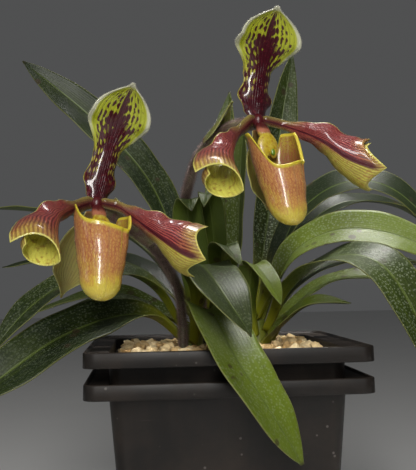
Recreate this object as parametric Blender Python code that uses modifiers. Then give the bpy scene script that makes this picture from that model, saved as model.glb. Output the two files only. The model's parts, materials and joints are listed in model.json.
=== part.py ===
"""A slipper orchid (paphiopedilum) with two blooms, growing in two nested square nursery pots.

Lengths below are millimetres. MM turns them into Blender's metres when a mesh is made. +Z is up,
-Y is the side that the blooms look to, and the origin is the middle of the outer pot's bottom.
"""

import math
import random

import bmesh
import bpy
from mathutils import Matrix, Vector

MM = 0.001
GAP = 0.3  # clearance between pieces that touch

# Pots: two alike, one standing in the other
RIM_WIDTH = 130.0
RIM_SKIRT = 7.0
RIM_OVERHANG = 10.4
RIM_LIP = 1.4
RIM_STEP = 1.2
POT_HEIGHT = 120.0
POT_RISE = 14.0
POT_TAPER = 0.078
POT_WALL = 0.8
POT_FLOOR = 1.5
POT_CORNER = 6.0
CORNER_STEPS = 3
DRAIN_RADIUS = 3.5
DRAIN_PLACES = ((30, 30), (-30, 30), (30, -30), (-30, -30), (30, 0), (-30, 0), (0, 30), (0, -30))

# Growing medium
MEDIUM_TOP = 128.5
CHIP_SPACING = 11.5
CHIP_RADIUS = (4.6, 7.0)
CHIP_SEED = 7
STEM_HOLE = 0.35  # how much wider the hole is than the stem in it

# Growth stems: x and y of the axis and the height of the top
GROWTHS = {
    "left": (-13.0, -5.0, 143.0),
    "middle": (-3.0, 15.0, 146.0),
    "right": (20.0, 2.0, 144.0),
}
GROWTH_RADIUS = 5.0
GROWTH_FOOT = 108.0

# Leaves
LEAF_THICKNESS = 1.0
LEAF_ROWS = 13
LEAF_FOOT_WIDTH = 5.0
LEAF_COLUMNS = (-1.0, -0.55, 0.0, 0.55, 1.0)

# Each leaf: the points that its midrib passes, width, roll at foot and tip in degrees (positive
# lifts the right-hand margin, seen from the foot), fold at the foot and past the middle
LEAVES = {
    "leaf_tall_left": (
        ((-5.5, 15, 147), (-18, 17, 178), (-34, 21, 218), (-62, 25, 251), (-101, 28, 285)),
        24, 30, 70, 35, 14),
    "leaf_sliver_left": (
        ((-9.1, 16.4, 141), (-35, 28, 180), (-68, 42, 200), (-102, 52, 206), (-130, 56, 208)),
        17, 0, 0, 35, 12),
    "leaf_dim_left": (
        ((-6.3, 20.6, 137), (-36, 50, 170), (-72, 72, 180), (-122, 88, 175)),
        19, 10, 25, 35, 12),
    "leaf_arch_left": (
        ((-19.8, -3.2, 141), (-32, -8, 160), (-47, -15, 169), (-63, -22, 168), (-80, -28, 161),
         (-94, -33, 150), (-109, -38, 132)),
        20, 20, 25, 35, 14),
    "leaf_low_left": (
        ((-19.5, -6.3, 135), (-35, -13, 147), (-54, -22, 147), (-77, -35, 139), (-96, -47, 127),
         (-117, -58, 111)),
        26, 25, 50, 35, 14),
    "leaf_thin_left": (
        ((-18.4, -0.3, 133), (-40, 5, 153), (-60, 4, 155), (-82, 2, 149)),
        12, 20, 10, 35, 14),
    "leaf_thin_back": (
        ((-9.8, 13, 135), (-45, 24, 157), (-68, 32, 157), (-98, 38, 149)),
        15, 20, 20, 35, 14),
    "leaf_front_hanging": (
        ((-12.5, -12, 133), (-9, -30, 148), (-7, -52, 149), (1, -76, 131), (14, -86, 109),
         (27, -84, 87)),
        29, 0, 10, 35, 12),
    "leaf_broad_front": (
        ((-12, -7.5, 144), (-9, -16, 159), (-10, -31, 170), (-11, -46, 171), (-8, -64, 166),
         (-2, -79, 155), (6, -90, 141)),
        29, 0, 15, 35, 12),
    "leaf_folded_mid": (
        ((-5.8, -5, 136), (3, -10, 160), (1, -24, 176), (1, -41, 180), (7, -52, 171)),
        15, 0, 0, 35, 20),
    "leaf_olive_mid": (
        ((18.8, -5.2, 136), (15, -10, 155), (16, -18, 171), (22, -29, 164), (27, -37, 152)),
        13, 0, 0, 35, 25),
    "leaf_tall_right": (
        ((18, 4.5, 145), (28, 24, 186), (37, 37, 231), (44, 44, 267), (50, 48, 295)),
        20, -40, -60, 35, 20),
    "leaf_tall_mid": (
        ((-2.5, 18.5, 147), (3, 30, 186), (9, 40, 240), (13, 44, 271)),
        18, 0, 0, 35, 20),
    "leaf_curl_left": (
        ((-12, -2.5, 144), (-12, -5, 175), (-15, -11, 196), (-15, -20, 204), (-14, -29, 198)),
        16, 0, 0, 35, 10),
    "leaf_curl_right": (
        ((-3, 11.5, 147), (-1, 2, 178), (-3, -8, 200), (-6, -18, 207), (-8, -27, 200)),
        13, 0, 0, 35, 15),
    "leaf_strap_mid": (
        ((1, 14.5, 147), (11, 11.5, 172), (14, 11, 206), (16, 13, 233), (19, 16, 250)),
        20, -20, -20, 35, 20),
    "leaf_arch_right": (
        ((22.5, 2, 145), (33, 2, 177), (45, 0, 200), (66, -5, 213), (89, -11, 209),
         (114, -17, 184)),
        20, -35, -45, 35, 14),
    "leaf_arch_right_back": (
        ((23.2, 8, 140), (38, 19, 173), (54, 23, 195), (76, 26, 206), (106, 30, 202),
         (132, 34, 183)),
        20, -20, -20, 35, 14),
    "leaf_glare_right": (
        ((21.5, -2.2, 145), (29, -12, 162), (39, -17, 179), (60, -23, 188), (86, -31, 184),
         (112, -40, 169)),
        23, -40, -50, 35, 12),
    "leaf_over_right": (
        ((25.7, -1.6, 138), (36, -19, 161), (52, -39, 174), (69, -54, 171), (81, -63, 152),
         (91, -66, 122)),
        26, -10, -30, 35, 10),
    "leaf_back_right": (
        ((26, 6.4, 135), (44, 22, 160), (70, 30, 173), (106, 36, 173), (136, 38, 163)),
        19, -15, -15, 35, 14),
    "leaf_low_right": (
        ((27.2, 1.4, 131), (39, 3, 149), (56, 1, 162), (76, -4, 165), (98, -10, 159)),
        15, -20, -20, 35, 12),
    "leaf_short_right": (
        ((22.8, -5, 130), (31, -16, 142), (44, -22, 152), (63, -26, 152)),
        13, -20, -20, 35, 20),
}

# Blooms: where the petals meet and the turns in degrees (to the right, clockwise, forward).
# A petal: the points that its middle passes; width, curl in degrees and lead of its lower and of
# its upper half; its roll at foot and end in degrees. A dorsal sepal: height, forward nod as a
# share of that, width. A pouch: length, forward lean and sideways slant of its toe. A rim: how far
# down the left ear, the right ear and then the front lie, as shares of the pouch's length. Leans:
# of the dorsal sepal and the synsepal to the side, in degrees. Flare: how far the synsepal's tip
# stands back. Then the points that the ovary, bract and stem pass
BLOOMS = {
    "left": {
        "centre": (-57, -75, 198),
        "turns": (22, 8, -5),
        "petals": {
            "left": (((-60, -76.2, 198.2), (-65.2, -83, 195.6), (-70.2, -96, 190.8), (-70.4, -110, 182.8),
                      (-68.2, -123, 172.8)), (26, 215, 1.0), (23, 112, 2.0), 22, 0),
            "right": (((-54, -76, 198), (-47, -76, 196), (-39.5, -81.6, 190.2), (-30.1, -87, 182.6),
                       (-20.9, -91, 176), (-12.1, -94, 172.8)), (16, 62, 1.6), (18, 80, 1.6), 15, 14),
        },
        "dorsal": (51.0, 0.31, 27.5),
        "pouch": (43.5, 13.0, -1.8),
        "rim": (0.085, 0.125, 0.17),
        "leans": (7, 6),
        "flare": 24,
        "ovary": ((-55.4, -72, 196.4), (-44, -61, 190), (-34.5, -51.5, 182)),
        "bract": ((-34.6, -49.8, 184.4), (-42.7, -56.5, 192.6), (-49.6, -60.8, 201.6)),
        "stem": ((-34.1, -50.9, 181.4), (-31, -44, 178), (-26, -30, 171), (-21, -21, 160),
                 (-19, -17, 146), (-19, -17, 128), (-19, -17, 112)),
    },
    "right": {
        "centre": (13, -75, 233),
        "turns": (29, 4, 1),
        "petals": {
            "left": (((10.1, -76.2, 233), (3.6, -84, 225.6), (-0.6, -98, 215.6), (-1, -111, 206.6),
                      (0.6, -123, 198.2)), (26, 215, 1.0), (23, 112, 2.0), 22, 0),
            "right": (((16, -76, 232.8), (25.2, -76, 230.2), (38.1, -83, 223.6), (49.3, -87, 215),
                       (59.5, -90, 210.4), (64.8, -91, 210)), (13.5, 62, 1.6), (18, 82, 1.6), 15, 10),
        },
        "dorsal": (48.5, 0.2, 33.0),
        "pouch": (46.5, 16.5, 1.6),
        "rim": (0.185, 0.11, 0.3),
        "leans": (1, -15),
        "flare": 3,
        "ovary": ((11.9, -72.2, 232.8), (3, -56, 233), (-6, -42, 229)),
        "bract": ((-7.3, -42.3, 231.7), (-1.8, -54, 237), (3, -64, 244)),
        "stem": ((-6.5, -41.3, 228.6), (-11, -35, 223), (-14, -26, 215), (-16, -12, 206),
                 (-16, 0, 193), (-12, 6, 176), (-8, 6, 158), (-8, 6, 140), (-8, 6, 112)),
    },
}
OVARY_RADII = (2.3, 2.7, 2.2)
STEM_RADIUS = 1.8
CORE_RADIUS = 3.2
CORE_SIDE = 2.6
PETAL_THICKNESS = 0.8
PETAL_HORN = 5.5
PETAL_NOTCH = 4.5
SYNSEPAL_LENGTH = 41.0
SYNSEPAL_WIDTH = 20.0
POUCH_WALL = 0.9
POUCH_BACK = 7.5
POUCH_BACK_DROP = 0.024


def start_scene():
    """An empty scene with one collection for the orchid and one for the cutters."""
    for found in list(bpy.data.objects):
        bpy.data.objects.remove(found)
    made = []
    for title in ("Paphiopedilum orchid", "Cutters"):
        group = bpy.data.collections.new(title)
        bpy.context.scene.collection.children.link(group)
        made.append(group)
    return made


ORCHID, CUTTERS = start_scene()


def material(name, colour, roughness):
    made = bpy.data.materials.get(name) or bpy.data.materials.new(name)
    made.use_nodes = True
    shader = made.node_tree.nodes["Principled BSDF"]
    shader.inputs["Base Color"].default_value = (*colour, 1)
    shader.inputs["Roughness"].default_value = roughness
    return made


def add(name, data, finish, smooth=True):
    """A named object of the orchid that shows this mesh or curve."""
    piece = bpy.data.objects.new(name, data)
    ORCHID.objects.link(piece)
    data.materials.append(finish)
    if smooth and isinstance(data, bpy.types.Mesh):
        data.shade_smooth()
    return piece


def cutter(name, data):
    piece = bpy.data.objects.new(name, data)
    CUTTERS.objects.link(piece)
    piece.hide_render = True
    piece.display_type = "WIRE"
    return piece


def mesh_of(name, points, faces):
    """A mesh in metres from points in millimetres."""
    made = bpy.data.meshes.new(name)
    made.from_pydata([Vector(p) * MM for p in points], [], faces)
    return made


def apply_boolean(piece, operation, other):
    """Joins or cuts a piece at once, with an object or with every object of a collection."""
    step = piece.modifiers.new("join", "BOOLEAN")
    step.operation = operation
    step.solver = "EXACT"
    if isinstance(other, bpy.types.Collection):
        step.operand_type = "COLLECTION"
        step.collection = other
    else:
        step.object = other
    bpy.context.view_layer.update()
    graph = bpy.context.evaluated_depsgraph_get()
    result = bpy.data.meshes.new_from_object(piece.evaluated_get(graph))
    piece.modifiers.remove(step)
    piece.data = result


def lerp(a, b, share):
    return a + (b - a) * share


def ease(value):
    """0 to 1 with a soft start and end."""
    value = min(1.0, max(0.0, value))
    return value * value * (3 - 2 * value)


def through(stations, at):
    """A value read smoothly between (place, value) stations."""
    for (low, first), (high, second) in zip(stations, stations[1:]):
        if at <= high:
            return lerp(first, second, ease((at - low) / (high - low)))
    return stations[-1][1]


def smooth_route(points, count):
    """Evenly spaced points on a smooth curve through the given ones."""
    knots = [Vector(p) for p in points]
    knots = [2 * knots[0] - knots[1], *knots, 2 * knots[-1] - knots[-2]]
    fine = []
    for a, b, c, d in zip(knots, knots[1:], knots[2:], knots[3:]):
        for step in range(16):
            t = step / 16
            fine.append(0.5 * (2 * b + (c - a) * t + (2 * a - 5 * b + 4 * c - d) * t * t
                               + (3 * b - a - 3 * c + d) * t ** 3))
    fine.append(knots[-2])
    reach = [0.0]
    for a, b in zip(fine, fine[1:]):
        reach.append(reach[-1] + (b - a).length)
    route = []
    place = 0
    for step in range(count):
        wanted = reach[-1] * step / (count - 1)
        while place < len(reach) - 2 and reach[place + 1] < wanted:
            place += 1
        share = (wanted - reach[place]) / (reach[place + 1] - reach[place])
        route.append(fine[place].lerp(fine[place + 1], share))
    return route


def directions(route):
    """The unit direction of a route at each of its points."""
    last = len(route) - 1
    return [(route[min(i + 1, last)] - route[max(i - 1, 0)]).normalized() for i in range(last + 1)]


def sheet(name, grid, thickness, finish):
    """A thin piece from a grid of points on its middle surface, in rows from foot to tip."""
    columns = len(grid[0])
    points = [p for row in grid for p in row]
    faces = []
    for i in range(len(grid) - 1):
        for j in range(columns - 1):
            a = i * columns + j
            b = a + columns
            if j * 2 < columns - 1:
                faces += [(a, a + 1, b), (a + 1, b + 1, b)]
            else:
                faces += [(a, b + 1, b), (a, a + 1, b + 1)]
    piece = add(name, mesh_of(name, points, faces), finish)
    wall = piece.modifiers.new("thickness", "SOLIDIFY")
    wall.thickness = thickness * MM
    wall.offset = 0
    return piece


def tube(name, points, radii, finish, count=14, sides=3):
    """A round stem along a route, its radius read between those given from end to end."""
    route = smooth_route(points, count)
    line = bpy.data.curves.new(name, "CURVE")
    line.dimensions = "3D"
    line.bevel_depth = MM
    line.bevel_resolution = sides
    line.use_fill_caps = True
    spline = line.splines.new("POLY")
    spline.points.add(count - 1)
    stations = [(i / (len(radii) - 1), r) for i, r in enumerate(radii)]
    for i, (knot, place) in enumerate(zip(spline.points, route)):
        knot.co = (*(place * MM), 1)
        knot.radius = through(stations, i / (count - 1))
    return add(name, line, finish)


def as_mesh(piece):
    """A curve object made a mesh with its caps welded, under the same name."""
    bpy.context.view_layer.update()
    graph = bpy.context.evaluated_depsgraph_get()
    made = bpy.data.meshes.new_from_object(piece.evaluated_get(graph))
    form = bmesh.new()
    form.from_mesh(made)
    bmesh.ops.remove_doubles(form, verts=form.verts, dist=1e-6)
    form.to_mesh(made)
    form.free()
    name, group = piece.name, piece.users_collection[0]
    bpy.data.objects.remove(piece)
    turned = bpy.data.objects.new(name, made)
    group.objects.link(turned)
    return turned


# Pots


def square_ring(half, height, corner):
    """Points of a square with round corners, anticlockwise from above."""
    corner = min(corner, half - 1)
    ring = []
    for quarter in range(4):
        turn = quarter * math.pi / 2
        for step in range(CORNER_STEPS + 1):
            angle = turn + step / CORNER_STEPS * math.pi / 2
            x = (half - corner) * math.copysign(1, math.cos(turn + 0.7)) + corner * math.cos(angle)
            y = (half - corner) * math.copysign(1, math.sin(turn + 0.7)) + corner * math.sin(angle)
            ring.append(Vector((x, y, height)))
    return ring


def square_loft(name, sections):
    """A closed solid lofted through square sections of (half width, height, corner radius)."""
    rings = [square_ring(*section) for section in sections]
    count = len(rings[0])
    points = [p for ring in rings for p in ring]
    faces = [tuple(reversed(range(count)))]
    for level in range(len(rings) - 1):
        for i in range(count):
            low, low_next = level * count + i, level * count + (i + 1) % count
            faces.append((low, low_next, low_next + count, low + count))
    last = (len(rings) - 1) * count
    faces.append(tuple(range(last, last + count)))
    return mesh_of(name, points, faces)


def pot_half(height):
    """Half the outer width of a pot's body at a height above its own bottom."""
    return RIM_WIDTH / 2 - RIM_OVERHANG - POT_TAPER * (POT_HEIGHT - height)


def make_pot(name, rise):
    """A thin tapered pot with an overhanging rim, a sunk step in its top edge and drain holes."""
    plastic = material("Dark plastic", (0.035, 0.033, 0.035), 0.45)
    rim = RIM_WIDTH / 2
    top = POT_HEIGHT
    plate = top - RIM_STEP - POT_WALL
    skirt = top - RIM_SKIRT
    outer = POT_CORNER
    profile = [
        (pot_half(0) - 1, 0, POT_CORNER - 2),
        (pot_half(1), 1, POT_CORNER - 2),
        (pot_half(plate), plate, POT_CORNER),
        (rim - 1.2, plate, outer - 1.2),
        (rim - 1.2, skirt, outer - 1.2),
        (rim, skirt, outer),
        (rim, top - 0.5, outer),
        (rim - 0.5, top, outer - 0.5),
        (rim - RIM_LIP, top, outer - RIM_LIP),
        (rim - RIM_LIP - 0.6, top - RIM_STEP, outer - RIM_LIP),
        (pot_half(top) - POT_WALL, top - RIM_STEP, POT_CORNER - POT_WALL),
        (pot_half(POT_FLOOR) - POT_WALL, POT_FLOOR, POT_CORNER - 2),
    ]
    mesh = square_loft(name, [(half, height + rise, corner) for half, height, corner in profile])
    pot = add(name, mesh, plastic, smooth=False)
    for place, (x, y) in enumerate(DRAIN_PLACES):
        form = bmesh.new()
        bmesh.ops.create_cone(form, cap_ends=True, segments=10, radius1=DRAIN_RADIUS * MM,
                              radius2=DRAIN_RADIUS * MM, depth=6 * POT_FLOOR * MM,
                              matrix=Matrix.Translation(Vector((x, y, rise)) * MM))
        hole = bpy.data.meshes.new("drain")
        form.to_mesh(hole)
        form.free()
        tool = cutter(f"{name}_drain_{place}", hole)
        apply_boolean(pot, "DIFFERENCE", tool)
        bpy.data.objects.remove(tool)
    return pot


# Growing medium


def chip(name, centre, radius, draw):
    """An angular chip: the hull of a few points thrown round a flattened ball."""
    form = bmesh.new()
    for _ in range(11):
        way = Vector([draw.gauss(0, 1) for _ in range(3)]).normalized()
        form.verts.new((way * radius * draw.uniform(0.85, 1.1)) * MM)
    bmesh.ops.convex_hull(form, input=form.verts)
    loose = [v for v in form.verts if not v.link_faces]
    bmesh.ops.delete(form, geom=loose, context="VERTS")
    squash = Matrix.Diagonal((1.0, draw.uniform(0.7, 0.95), draw.uniform(0.6, 0.8), 1))
    turn = Matrix.Rotation(draw.uniform(0, math.tau), 4, "Z")
    tilt = Matrix.Rotation(draw.uniform(-0.4, 0.4), 4, "X")
    place = Matrix.Translation(centre * MM)
    bmesh.ops.transform(form, matrix=place @ turn @ tilt @ squash, verts=form.verts)
    bmesh.ops.recalc_face_normals(form, faces=form.faces)
    mesh = bpy.data.meshes.new(name)
    form.to_mesh(mesh)
    form.free()
    return mesh


def make_medium(stem_holes):
    """The potting mix: a block that fills the inner pot, chips fused on top, and the stems' holes."""
    bark = material("Bark and pumice", (0.55, 0.43, 0.28), 0.9)
    low = POT_RISE + POT_FLOOR + GAP
    sections = []
    for height in (low, MEDIUM_TOP):
        half = pot_half(height - POT_RISE) - POT_WALL - GAP
        sections.append((half, height, POT_CORNER - 1))
    medium = add("growing_medium", square_loft("growing_medium", sections), bark, smooth=False)
    draw = random.Random(CHIP_SEED)
    heap = bpy.data.collections.new("Chips")
    CUTTERS.children.link(heap)
    reach = pot_half(MEDIUM_TOP - POT_RISE) - POT_WALL - CHIP_RADIUS[1] * 1.1 - GAP
    count = int(2 * reach / CHIP_SPACING) + 1
    for i in range(count):
        for j in range(count):
            radius = draw.uniform(*CHIP_RADIUS)
            x = lerp(-reach, reach, i / (count - 1)) + draw.uniform(-1, 1) * (0 < i < count - 1)
            y = lerp(-reach, reach, j / (count - 1)) + draw.uniform(-1, 1) * (0 < j < count - 1)
            centre = Vector((x, y, MEDIUM_TOP + draw.uniform(-0.5, 1.8)))
            piece = bpy.data.objects.new("chip", chip("chip", centre, radius, draw))
            heap.objects.link(piece)
    apply_boolean(medium, "UNION", heap)
    for piece in list(heap.objects):
        bpy.data.objects.remove(piece)
    bpy.data.collections.remove(heap)
    for tool in stem_holes:
        apply_boolean(medium, "DIFFERENCE", tool)
    return medium


def stem_hole(name, points, radii):
    """The cutter of the hole that a stem stands in: the stem itself, a little wider and longer."""
    foot = Vector(points[-1]) - Vector((0, 0, 0.5))
    wide = [r + STEM_HOLE for r in radii]
    piece = tube(name, (*points[:-1], foot), wide, material("Cutter", (1, 0, 0), 1), count=8)
    ORCHID.objects.unlink(piece)
    CUTTERS.objects.link(piece)
    tool = as_mesh(piece)
    tool.hide_render = True
    tool.display_type = "WIRE"
    return tool


# Growth stems and leaves


def growth_line(name):
    x, y, top = GROWTHS[name]
    return ((x, y, top), (x, y, lerp(top, GROWTH_FOOT, 0.5)), (x, y, GROWTH_FOOT))


GROWTH_RADII = (GROWTH_RADIUS * 0.85, GROWTH_RADIUS, GROWTH_RADIUS, GROWTH_RADIUS * 0.8)


def make_growth(name):
    green = material("Leaf base", (0.32, 0.36, 0.06), 0.5)
    return tube(f"growth_{name}", growth_line(name), GROWTH_RADII, green, count=8)


def leaf_width(share, width):
    """Full width of a blade at a share of its length: a narrow foot, a broad middle, a short point."""
    swell = lerp(LEAF_FOOT_WIDTH, width, ease(share / 0.42))
    past = max(0.0, (share - 0.62) / 0.38)
    return max(1.2, swell * (1 - past ** 2.4))


def make_leaf(name, midrib, width, roll_foot, roll_tip, fold_foot, fold):
    """A strap leaf: a gutter at the foot that opens along an arched midrib to a flatter blade."""
    green = material("Leaf", (0.07, 0.16, 0.03), 0.35)
    route = smooth_route(midrib, LEAF_ROWS)
    ways = directions(route)
    heading = Vector((*(route[-1] - route[0]).xy, 0)).normalized()
    right = heading.cross(Vector((0, 0, 1)))
    length = sum((b - a).length for a, b in zip(route, route[1:]))
    grid = []
    for i, (place, way) in enumerate(zip(route, ways)):
        share = i / (len(route) - 1)
        side = (right - way * right.dot(way)).normalized()
        face = side.cross(way)
        roll = math.radians(lerp(roll_foot, roll_tip, share))
        side, face = (side * math.cos(roll) + face * math.sin(roll),
                      face * math.cos(roll) - side * math.sin(roll))
        gutter = math.radians(lerp(fold_foot, fold, ease(share / 0.45)))
        half = leaf_width(share, width) / 2
        row = []
        for t in LEAF_COLUMNS:
            wave = 0.02 * width * abs(t) * math.sin(share * length / 9 + (2 if t > 0 else 0))
            row.append(place + side * (half * t * math.cos(gutter))
                       + face * (half * abs(t) ** 1.3 * math.sin(gutter) + wave * ease(share * 3)))
        grid.append(row)
    return sheet(name, grid, LEAF_THICKNESS, green)


# Blooms


def bloom_place(bloom):
    """Turns bloom coordinates (x to the right, -y to the front, z up) into the whole plant's."""
    return (Matrix.Translation(Vector(bloom["centre"]))
            @ Matrix.Rotation(math.radians(bloom["turns"][0]), 4, "Z")
            @ Matrix.Rotation(math.radians(bloom["turns"][1]), 4, "Y")
            @ Matrix.Rotation(math.radians(bloom["turns"][2]), 4, "X"))


def placed(grid, place):
    return [[place @ p for p in row] for row in grid]


def rib_arm(half, curl, lead, steps):
    """Across and back of the points from the middle of a rib to a margin: a high lead bends it early."""
    arm = []
    place = Vector((0.0, 0.0))
    for step in range(steps):
        bend = curl * (1 - (1 - (step + 0.5) / steps) ** lead)
        place = place + Vector((math.cos(bend), math.sin(bend))) * (half / steps)
        arm.append(place)
    return arm


def petal_grid(side, midline, low_arm, high_arm, roll_foot, roll_end, rows=14, steps=5):
    """A petal: a narrow foot, then a broad blade whose margins curl back, with a notched end."""
    route = smooth_route(midline, rows)
    widths = ((0, 0.13), (0.16, 0.14), (0.35, 0.3), (0.53, 0.52), (0.76, 0.82), (0.92, 1.0), (1, 0.97))
    grid = []
    for i, (middle, way) in enumerate(zip(route, directions(route))):
        share = i / (rows - 1)
        up = Vector((0, 0, 1))
        up = (up - way * up.dot(way)).normalized()
        front = way.cross(up) * (1 if side == "right" else -1)
        roll = math.radians(lerp(roll_foot, roll_end, share))
        up, front = (up * math.cos(roll) + front * math.sin(roll),
                     front * math.cos(roll) - up * math.sin(roll))
        row = []
        arms = []
        for half, curl, lead in (low_arm, high_arm):
            bend = math.radians(lerp(25, curl, ease(share / 0.7)))
            arms.append(rib_arm(half * through(widths, share), bend, lead, steps))
        low, high = arms
        rib = [Vector((-p.x, p.y)) for p in reversed(low)] + [Vector((0, 0))] + high
        for j, (across, back) in enumerate(rib):
            t = abs(j / steps - 1)
            cut = (PETAL_HORN * t + PETAL_NOTCH * math.sin(math.pi * t)) * ease(share) ** 3
            wave = 0.8 * t * math.sin(share * 11 + (0 if j > steps else 1.6)) * ease(share * 3)
            row.append(middle - way * cut + up * across - front * (back + wave))
        grid.append(row)
    return grid


def dorsal_grid(height, nod, width, rows=14, columns=9):
    """The dorsal sepal: a waisted, rolled-back neck under a broad hood that leans to the front."""
    reach = -height * nod
    middle = smooth_route(((0, 0.6, CORE_RADIUS + GAP + 0.1), (0, 0, height * 0.3),
                           (0, reach * 0.23, height * 0.62), (0, reach * 0.58, height * 0.86),
                           (0, reach, height)), rows)
    ways = directions(middle)
    widths = ((0, 0.38), (0.12, 0.52), (0.38, 0.5), (0.48, 0.7), (0.6, 0.95), (0.72, 1.0),
              (0.84, 0.84), (0.94, 0.5), (1, 0.1))
    grid = []
    for i, way in enumerate(ways):
        share = i / (rows - 1)
        side = Vector((1, 0, 0))
        front = way.cross(side) * -1
        half = width / 2 * through(widths, share)
        bend = math.radians(through(((0, 45), (0.35, 60), (0.55, 20), (0.7, -25), (1, -30)), share))
        radius = half / bend if abs(bend) > 0.02 else 0
        row = []
        for j in range(columns):
            t = 2 * j / (columns - 1) - 1
            across = radius * math.sin(t * bend) if radius else half * t
            back = radius * (1 - math.cos(t * bend)) if radius else 0
            row.append(middle[i] + side * across - front * back)
        grid.append(row)
    return grid


def synsepal_grid(flare, rows=11, columns=7):
    """The two lower sepals grown into one, hanging behind the pouch."""
    length = SYNSEPAL_LENGTH
    middle = smooth_route(((0, 1.4, -CORE_RADIUS - GAP), (0, 3 + flare * 0.3, -length * 0.32),
                           (0, 3 + flare * 0.7, -length * 0.66), (0, 1 + flare, -length * 0.95)), rows)
    ways = directions(middle)
    grid = []
    for i, way in enumerate(ways):
        share = i / (rows - 1)
        half = SYNSEPAL_WIDTH / 2 * through(((0, 0.4), (0.4, 1), (0.65, 0.9), (1, 0.08)), share)
        side = Vector((1, 0, 0))
        front = way.cross(side)
        row = []
        for j in range(columns):
            t = 2 * j / (columns - 1) - 1
            row.append(middle[i] + side * half * t + front * half * 0.45 * t * t)
        grid.append(row)
    return grid


def pouch_rim(angle, left_ear, right_ear, front_drop):
    """How far down the pouch its rim lies at this turn from the front: steep beside the right ear."""
    ahead = math.cos(angle)
    right = ease((math.sin(angle) + 0.6) / 1.2)
    ear = lerp(left_ear, right_ear, right)
    gentle, steep = ease((ahead + 0.1) / 0.9), ease((ahead - 0.2) / 0.4)
    return ear + front_drop * lerp(gentle, steep, right) + POUCH_BACK_DROP * ease((-ahead - 0.4) / 0.6)


def pouch_mesh(name, place, size, rim_form, rings=9, around=18):
    """The slipper: an open cup with a high ear on each side, a low front rim and a round toe."""
    deep, lean, slant = size
    side_reach = ((0, 10.8), (0.2, 12.0), (0.4, 11.2), (0.6, 10.0), (0.78, 8.6), (0.92, 6.4), (1, 0))
    depth_reach = ((0, 7.5), (0.2, 9.3), (0.4, 10.2), (0.6, 9.8), (0.78, 8.4), (0.92, 6.2), (1, 0))
    points, faces = [], []
    for ring in range(rings):
        share = 1 - (1 - ring / rings) ** 1.25
        for step in range(around):
            angle = math.tau * step / around
            ahead = math.cos(angle)
            level = lerp(pouch_rim(angle, *rim_form), 1, share)
            x = through(side_reach, level) * math.sin(angle) + slant * level
            y = -POUCH_BACK - lean * level - through(depth_reach, level) * ahead
            points.append(place @ Vector((x, y, -deep * level)))
    for ring in range(rings - 1):
        for step in range(around):
            a, b = ring * around + step, ring * around + (step + 1) % around
            faces += [(a, a + around, b + around), (a, b + around, b)]
    toe = len(points)
    points.append(place @ Vector((slant, -POUCH_BACK - lean, -deep)))
    last = (rings - 1) * around
    for step in range(around):
        faces.append((last + step, toe, last + (step + 1) % around))
    return mesh_of(name, points, faces)


def make_column(name, place):
    """The short column with its shield in front, joined in one piece."""
    yellow = material("Column", (0.75, 0.72, 0.15), 0.35)

    def ball(title, radii, centre, tilt):
        form = bmesh.new()
        bmesh.ops.create_uvsphere(form, u_segments=10, v_segments=6, radius=MM)
        turn = Matrix.Rotation(math.radians(tilt), 4, "X")
        shift = place @ Matrix.Translation(Vector(centre)) @ turn @ Matrix.Diagonal((*radii, 1))
        scale = Matrix.Translation(shift.to_translation() * (MM - 1)) @ shift
        bmesh.ops.transform(form, matrix=scale, verts=form.verts)
        mesh = bpy.data.meshes.new(title)
        form.to_mesh(mesh)
        form.free()
        return mesh

    column = add(name, ball(name, (CORE_SIDE, CORE_SIDE, CORE_RADIUS), (0, 0, 0), 0), yellow)
    for part, radii, centre, tilt in (("neck", (2.2, 6.0, 2.2), (0, -4, -4.5), 55),
                                      ("shield", (4.4, 1.3, 5.6), (0, -8.5, -12), -14)):
        tool = cutter(part, ball(part, radii, centre, tilt))
        apply_boolean(column, "UNION", tool)
        bpy.data.objects.remove(tool)
    return column


def bract_grid(points, ovary, rows=7, columns=5):
    """The sheath leaf at the foot of an ovary: half a pipe, open towards the ovary."""
    middle = smooth_route(points, rows)
    ways = directions(middle)
    grid = []
    for i, way in enumerate(ways):
        share = i / (rows - 1)
        toward = Vector(ovary[-1]).lerp(Vector(ovary[0]), share * 0.7) - middle[i]
        toward = (toward - way * toward.dot(way)).normalized()
        side = way.cross(toward)
        half = through(((0, 4.5), (0.35, 6.0), (1, 0.8)), share)
        row = []
        for j in range(columns):
            t = 2 * j / (columns - 1) - 1
            row.append(middle[i] + side * half * math.sin(t * 1.25) / 1.25 * 1.1
                       + toward * half * (1 - math.cos(t * 1.25)) * 0.8)
        grid.append(row)
    return grid


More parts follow.
